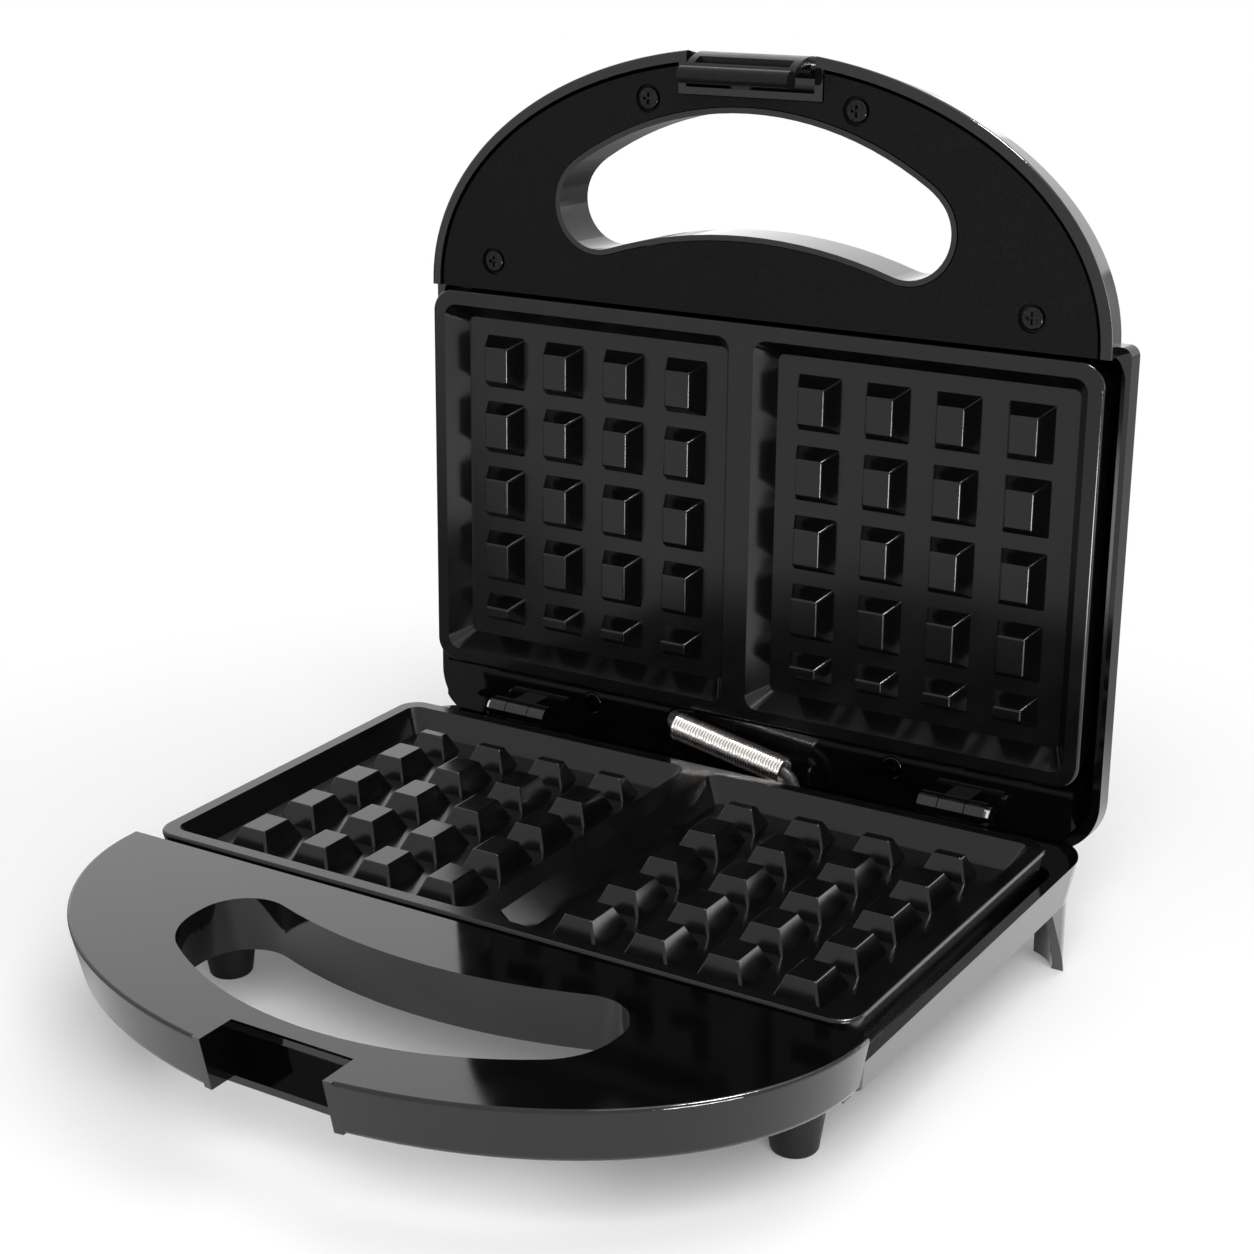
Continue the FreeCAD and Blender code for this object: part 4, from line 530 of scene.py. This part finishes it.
# %% Finish of each solid
SCHEDULE = {
    "gloss_shell": ["base_housing", "lid_housing", "lid_top_panel", "lid_hinge_plate"],
    "satin_panel": ["base_handle_cover", "base_bottom_cover", "lid_handle_cover", "cord_bush",
                    "lamp_holder"],
    "latch_plastic": ["latch"],
    "nonstick": ["lower_plate", "upper_plate"],
    "black_screw": ["base_handle_screws", "handle_cover_screws", "hinge_plate_screws"],
    "steel": ["bottom_cover_screws", "lower_plate_screws", "upper_plate_screws",
              "lower_element_clips", "upper_element_clips", "fuse_strap"],
    "element_steel": ["lower_heating_element", "upper_heating_element"],
    "bright_sheet": ["lower_reflector", "upper_reflector"],
    "pin_chrome": ["hinge_pins", "latch_pin"],
    "foot_rubber": ["front_feet"],
    "control_body": ["thermostat", "thermal_fuse"],
    "block_plastic": ["terminal_block"],
    "lamp_glass": ["neon_lamps"],
    "red_lens": ["power_lamp_lens"],
    "green_lens": ["ready_lamp_lens"],
}


def dress(piece, finish):
    piece.data.materials.clear()
    piece.data.materials.append(finish)


for finish_name, names in SCHEDULE.items():
    for name in names:
        dress(solids[name], finishes[finish_name])
WOUND = ["lid_lead", "lead_spring"]
dressed = sum(len(names) for names in SCHEDULE.values())
print(dressed, "solids dressed,", len(WOUND), "to be replaced, of", len(solids))

# %% [markdown]
# ## Lead between base and lid
# The upper heater gets its current through a sleeved lead that leaves the base's ledge, runs
# slantwise inside a coil spring and enters the lid's hinge plate. Its route is the same few points as
# in the solid. A smooth spline that control points pull into shape bends as a lead does, with no
# corners, and the tube is a circle carried along the points that the spline gives.

# %% Route of the lead
LEAD_START = Vector((0.027, 0.081674, 0.0285))
LEAD_TURN_LOW = Vector((0.027, 0.081674, 0.0415))
LEAD_TURN_HIGH = Vector((-0.022, 0.086519, 0.048393))
LEAD_END = Vector((-0.022, 0.098008, 0.047891))
RUN = LEAD_TURN_HIGH - LEAD_TURN_LOW
RUN_WAY = RUN.normalized()
LOW_REACH = (LEAD_TURN_LOW - LEAD_START).length
HIGH_REACH = (LEAD_END - LEAD_TURN_HIGH).length
LEAD_ROUTE = [
    LEAD_START,
    LEAD_TURN_LOW,
    LEAD_TURN_LOW + RUN_WAY * LOW_REACH,
    LEAD_TURN_HIGH - RUN_WAY * HIGH_REACH,
    LEAD_TURN_HIGH,
    LEAD_END,
]
LEAD_RADIUS = 0.0018
LEAD_STEPS = 16
SPLINE_ORDER = 3


def spline_points(name, route, resolution):
    """Points of a smooth spline that has the route's points as its control points."""
    curve = bpy.data.curves.new(name, "CURVE")
    curve.dimensions = "3D"
    spline = curve.splines.new("NURBS")
    spline.points.add(len(route) - 1)
    flat = np.array([(*point, 1.0) for point in route])
    spline.points.foreach_set("co", flat.ravel())
    spline.order_u = SPLINE_ORDER
    spline.use_endpoint_u = True
    spline.resolution_u = resolution
    holder = bpy.data.objects.new(name, curve)
    line = bpy.data.meshes.new_from_object(holder)
    points = np.empty(len(line.vertices) * 3)
    line.vertices.foreach_get("co", points)
    bpy.data.objects.remove(holder)
    bpy.data.curves.remove(curve)
    bpy.data.meshes.remove(line)
    return points.reshape(-1, 3)


lead_line = spline_points("lead_route", LEAD_ROUTE, LEAD_STEPS)
lead_length = np.linalg.norm(np.diff(lead_line, axis=0), axis=1).sum()
print("lead", len(lead_line), "points,", round(lead_length * 1000, 1), "mm")

# %% [markdown]
# ## A tube along a line
# A tube is a profile carried along a path. At each point the section needs two directions square to
# the line that don't twist. Each step takes the last direction, removes the part along the new
# tangent, and keeps the rest. The whole surface is then one sum of arrays: the point, plus cosine
# times the first direction, plus sine times the second.

# %% Tube surface
def carried_directions(tangents, first):
    """Directions square to each tangent, each carried over from the one before it."""
    carried = np.empty_like(tangents)
    side = np.asarray(first, float)
    for step, tangent in enumerate(tangents):
        side = side - tangent * side.dot(tangent)
        side = side / np.linalg.norm(side)
        carried[step] = side
    return carried


def tube_surface(name, line, radius, around, first):
    """line(u) + radius * (cos v * side(u) + sin v * other(u)), closed by a fan at each end."""
    tangents = np.gradient(line, axis=0)
    tangents = tangents / np.linalg.norm(tangents, axis=1, keepdims=True)
    side = carried_directions(tangents, first)
    other = np.cross(tangents, side)
    angle = np.linspace(0, 2 * np.pi, around, endpoint=False)
    turning = np.cos(angle)[None, :, None] * side[:, None, :]
    turning = turning + np.sin(angle)[None, :, None] * other[:, None, :]
    points = (line[:, None, :] + radius * turning).reshape(-1, 3)
    points = np.vstack([points, line[:1], line[-1:]])
    return mesh_of_tube(name, points, len(line), around)


def mesh_of_tube(name, points, rings, around):
    """Quads between neighbouring rings, and a fan of triangles on each end."""
    row = np.arange(rings - 1)[:, None] * around
    here = np.arange(around)[None, :]
    there = (here + 1) % around
    next_row = row + around
    quads = np.stack([row + here, row + there, next_row + there, next_row + here], -1).reshape(-1, 4)
    low, high = rings * around, rings * around + 1
    last = (rings - 1) * around
    rim = list(zip(here[0].tolist(), there[0].tolist()))
    caps = [(low, b, a) for a, b in rim]
    caps += [(high, last + a, last + b) for a, b in rim]
    mesh = bpy.data.meshes.new(name)
    mesh.from_pydata(points.tolist(), [], quads.tolist() + caps)
    mesh.update()
    mesh.polygons.foreach_set("use_smooth", np.ones(len(mesh.polygons), bool))
    piece = bpy.data.objects.new(name, mesh)
    bpy.context.scene.collection.objects.link(piece)
    return piece


LEAD_AROUND = 28
lead = tube_surface("sleeved_lead", lead_line, LEAD_RADIUS, LEAD_AROUND, first=(0, 1, 0))
print("lead tube", len(lead.data.polygons), "faces")

# %% [markdown]
# ## Sleeve
# The sleeve is a varnished glass-fibre braid, dark and slightly glossy. At this size the braid is a
# fine relief, so noise as fine as the braid's pitch is enough.

# %% Sleeve finish
BRAID_PITCH = 0.0009
finishes["lead_sleeve"] = grained(
    "lead_sleeve",
    dark=(0.012, 0.011, 0.010), light=(0.034, 0.031, 0.028), rough=(0.34, 0.5),
    grain_size=BRAID_PITCH, height=0.0001, detail=1.0, strength=0.6, IOR=1.48)
dress(lead, finishes["lead_sleeve"])
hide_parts("lid_lead")
print("lead sleeved")

# %% [markdown]
# ## Coil spring
# The spring is close wound from bright steel wire, and its two tails turn square into the ledge and
# the hinge plate. The wound part is a helix about the straight run of the lead: the point on the axis
# plus the coil radius times a turning direction. About forty turns is what the picture shows.

# %% Spring wire
COIL_RADIUS = 0.0039
WIRE_RADIUS = 0.00045
COIL_TURNS = 40
COIL_FREE_END = 0.005
STEPS_A_TURN = 20
WIRE_AROUND = 8
LEDGE_Z = 0.0345
LID_FACE = Vector((-0.022, 0.092014, 0.048153))
LID_OUT = Vector((0, -0.99905, 0.04362))


def helix(start, axis, length, down):
    """start + axis * length * t + COIL_RADIUS * (cos a * down + sin a * other), a = 2 pi * turns * t."""
    other = np.cross(axis, down)
    t = np.linspace(0, 1, COIL_TURNS * STEPS_A_TURN + 1)
    a = 2 * np.pi * COIL_TURNS * t
    wound = np.cos(a)[:, None] * down + np.sin(a)[:, None] * other
    return start + np.outer(length * t, axis) + COIL_RADIUS * wound


axis = np.array(RUN_WAY)
down = np.array((0.0, 0.0, -1.0))
down = down - axis * down.dot(axis)
down = down / np.linalg.norm(down)
coil_start = np.array(LEAD_TURN_LOW) + axis * COIL_FREE_END
coil_length = RUN.length - 2 * COIL_FREE_END
coil = helix(coil_start, axis, coil_length, down)
print("coil", COIL_TURNS, "turns, pitch", round(coil_length / COIL_TURNS * 1000, 2), "mm")

# %% [markdown]
# ## Tails of the spring
# A tail leaves the coil along the wire's own direction and bends round to stand square on its seat, as
# a bending tool leaves it. Two control points set that: one ahead of the coil's end, and one straight
# out from the seat. Wire and tails are then one tube.

# %% Spring tails and tube
TAIL_TURN = 0.0022
TAIL_AHEAD = 0.00352
TAIL_STEPS = 6
UPWARD = np.array((0.0, 0.0, 1.0))


def tail(wound_end, leaving, seat_point, seat_way):
    """A smooth line from a helix end, along its tangent, round to a seat that it meets squarely."""
    corner = wound_end + leaving * TAIL_TURN
    above = seat_point + seat_way * TAIL_TURN
    return spline_points("tail", [wound_end, corner, above, seat_point], TAIL_STEPS)[1:]


def seat_below(point, leaving):
    """Where the tail meets the ledge: under the point that lies a little along the tangent."""
    ahead = point + leaving * TAIL_AHEAD
    return np.array((ahead[0], ahead[1], LEDGE_Z))


def seat_on_lid(point, leaving):
    """Where the tail meets the open lid's hinge plate: the same, along that plate's normal."""
    ahead = point + leaving * TAIL_AHEAD
    out = np.array(LID_OUT)
    return ahead - out * (ahead - np.array(LID_FACE)).dot(out)


def way(from_point, to_point):
    """The direction from one point to the other, of length one."""
    step = to_point - from_point
    return step / np.linalg.norm(step)


low_leaving = way(coil[1], coil[0])
high_leaving = way(coil[-2], coil[-1])
low_tail = tail(coil[0], low_leaving, seat_below(coil[0], low_leaving), UPWARD)
high_tail = tail(coil[-1], high_leaving, seat_on_lid(coil[-1], high_leaving), np.array(LID_OUT))
wire = np.vstack([low_tail[::-1], coil, high_tail])
spring = tube_surface("coil_spring", wire, WIRE_RADIUS, WIRE_AROUND, first=axis)
dress(spring, finishes["spring_steel"])
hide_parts("lead_spring")
print("spring", len(spring.data.polygons), "faces")

# %% [markdown]
# ## Lead and spring stay as built
# Both cross the hinge. Their meshes are built for the lid as it stands, and their transforms are baked
# in; nothing here bends them with the lid.

# %% Bake the transforms
for piece in (lead, spring):
    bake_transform(piece)

# %% [markdown]
# ## Colour management
# Standard view transform keeps colours as they are written.

# %% View settings
bpy.context.scene.view_settings.view_transform = "Standard"
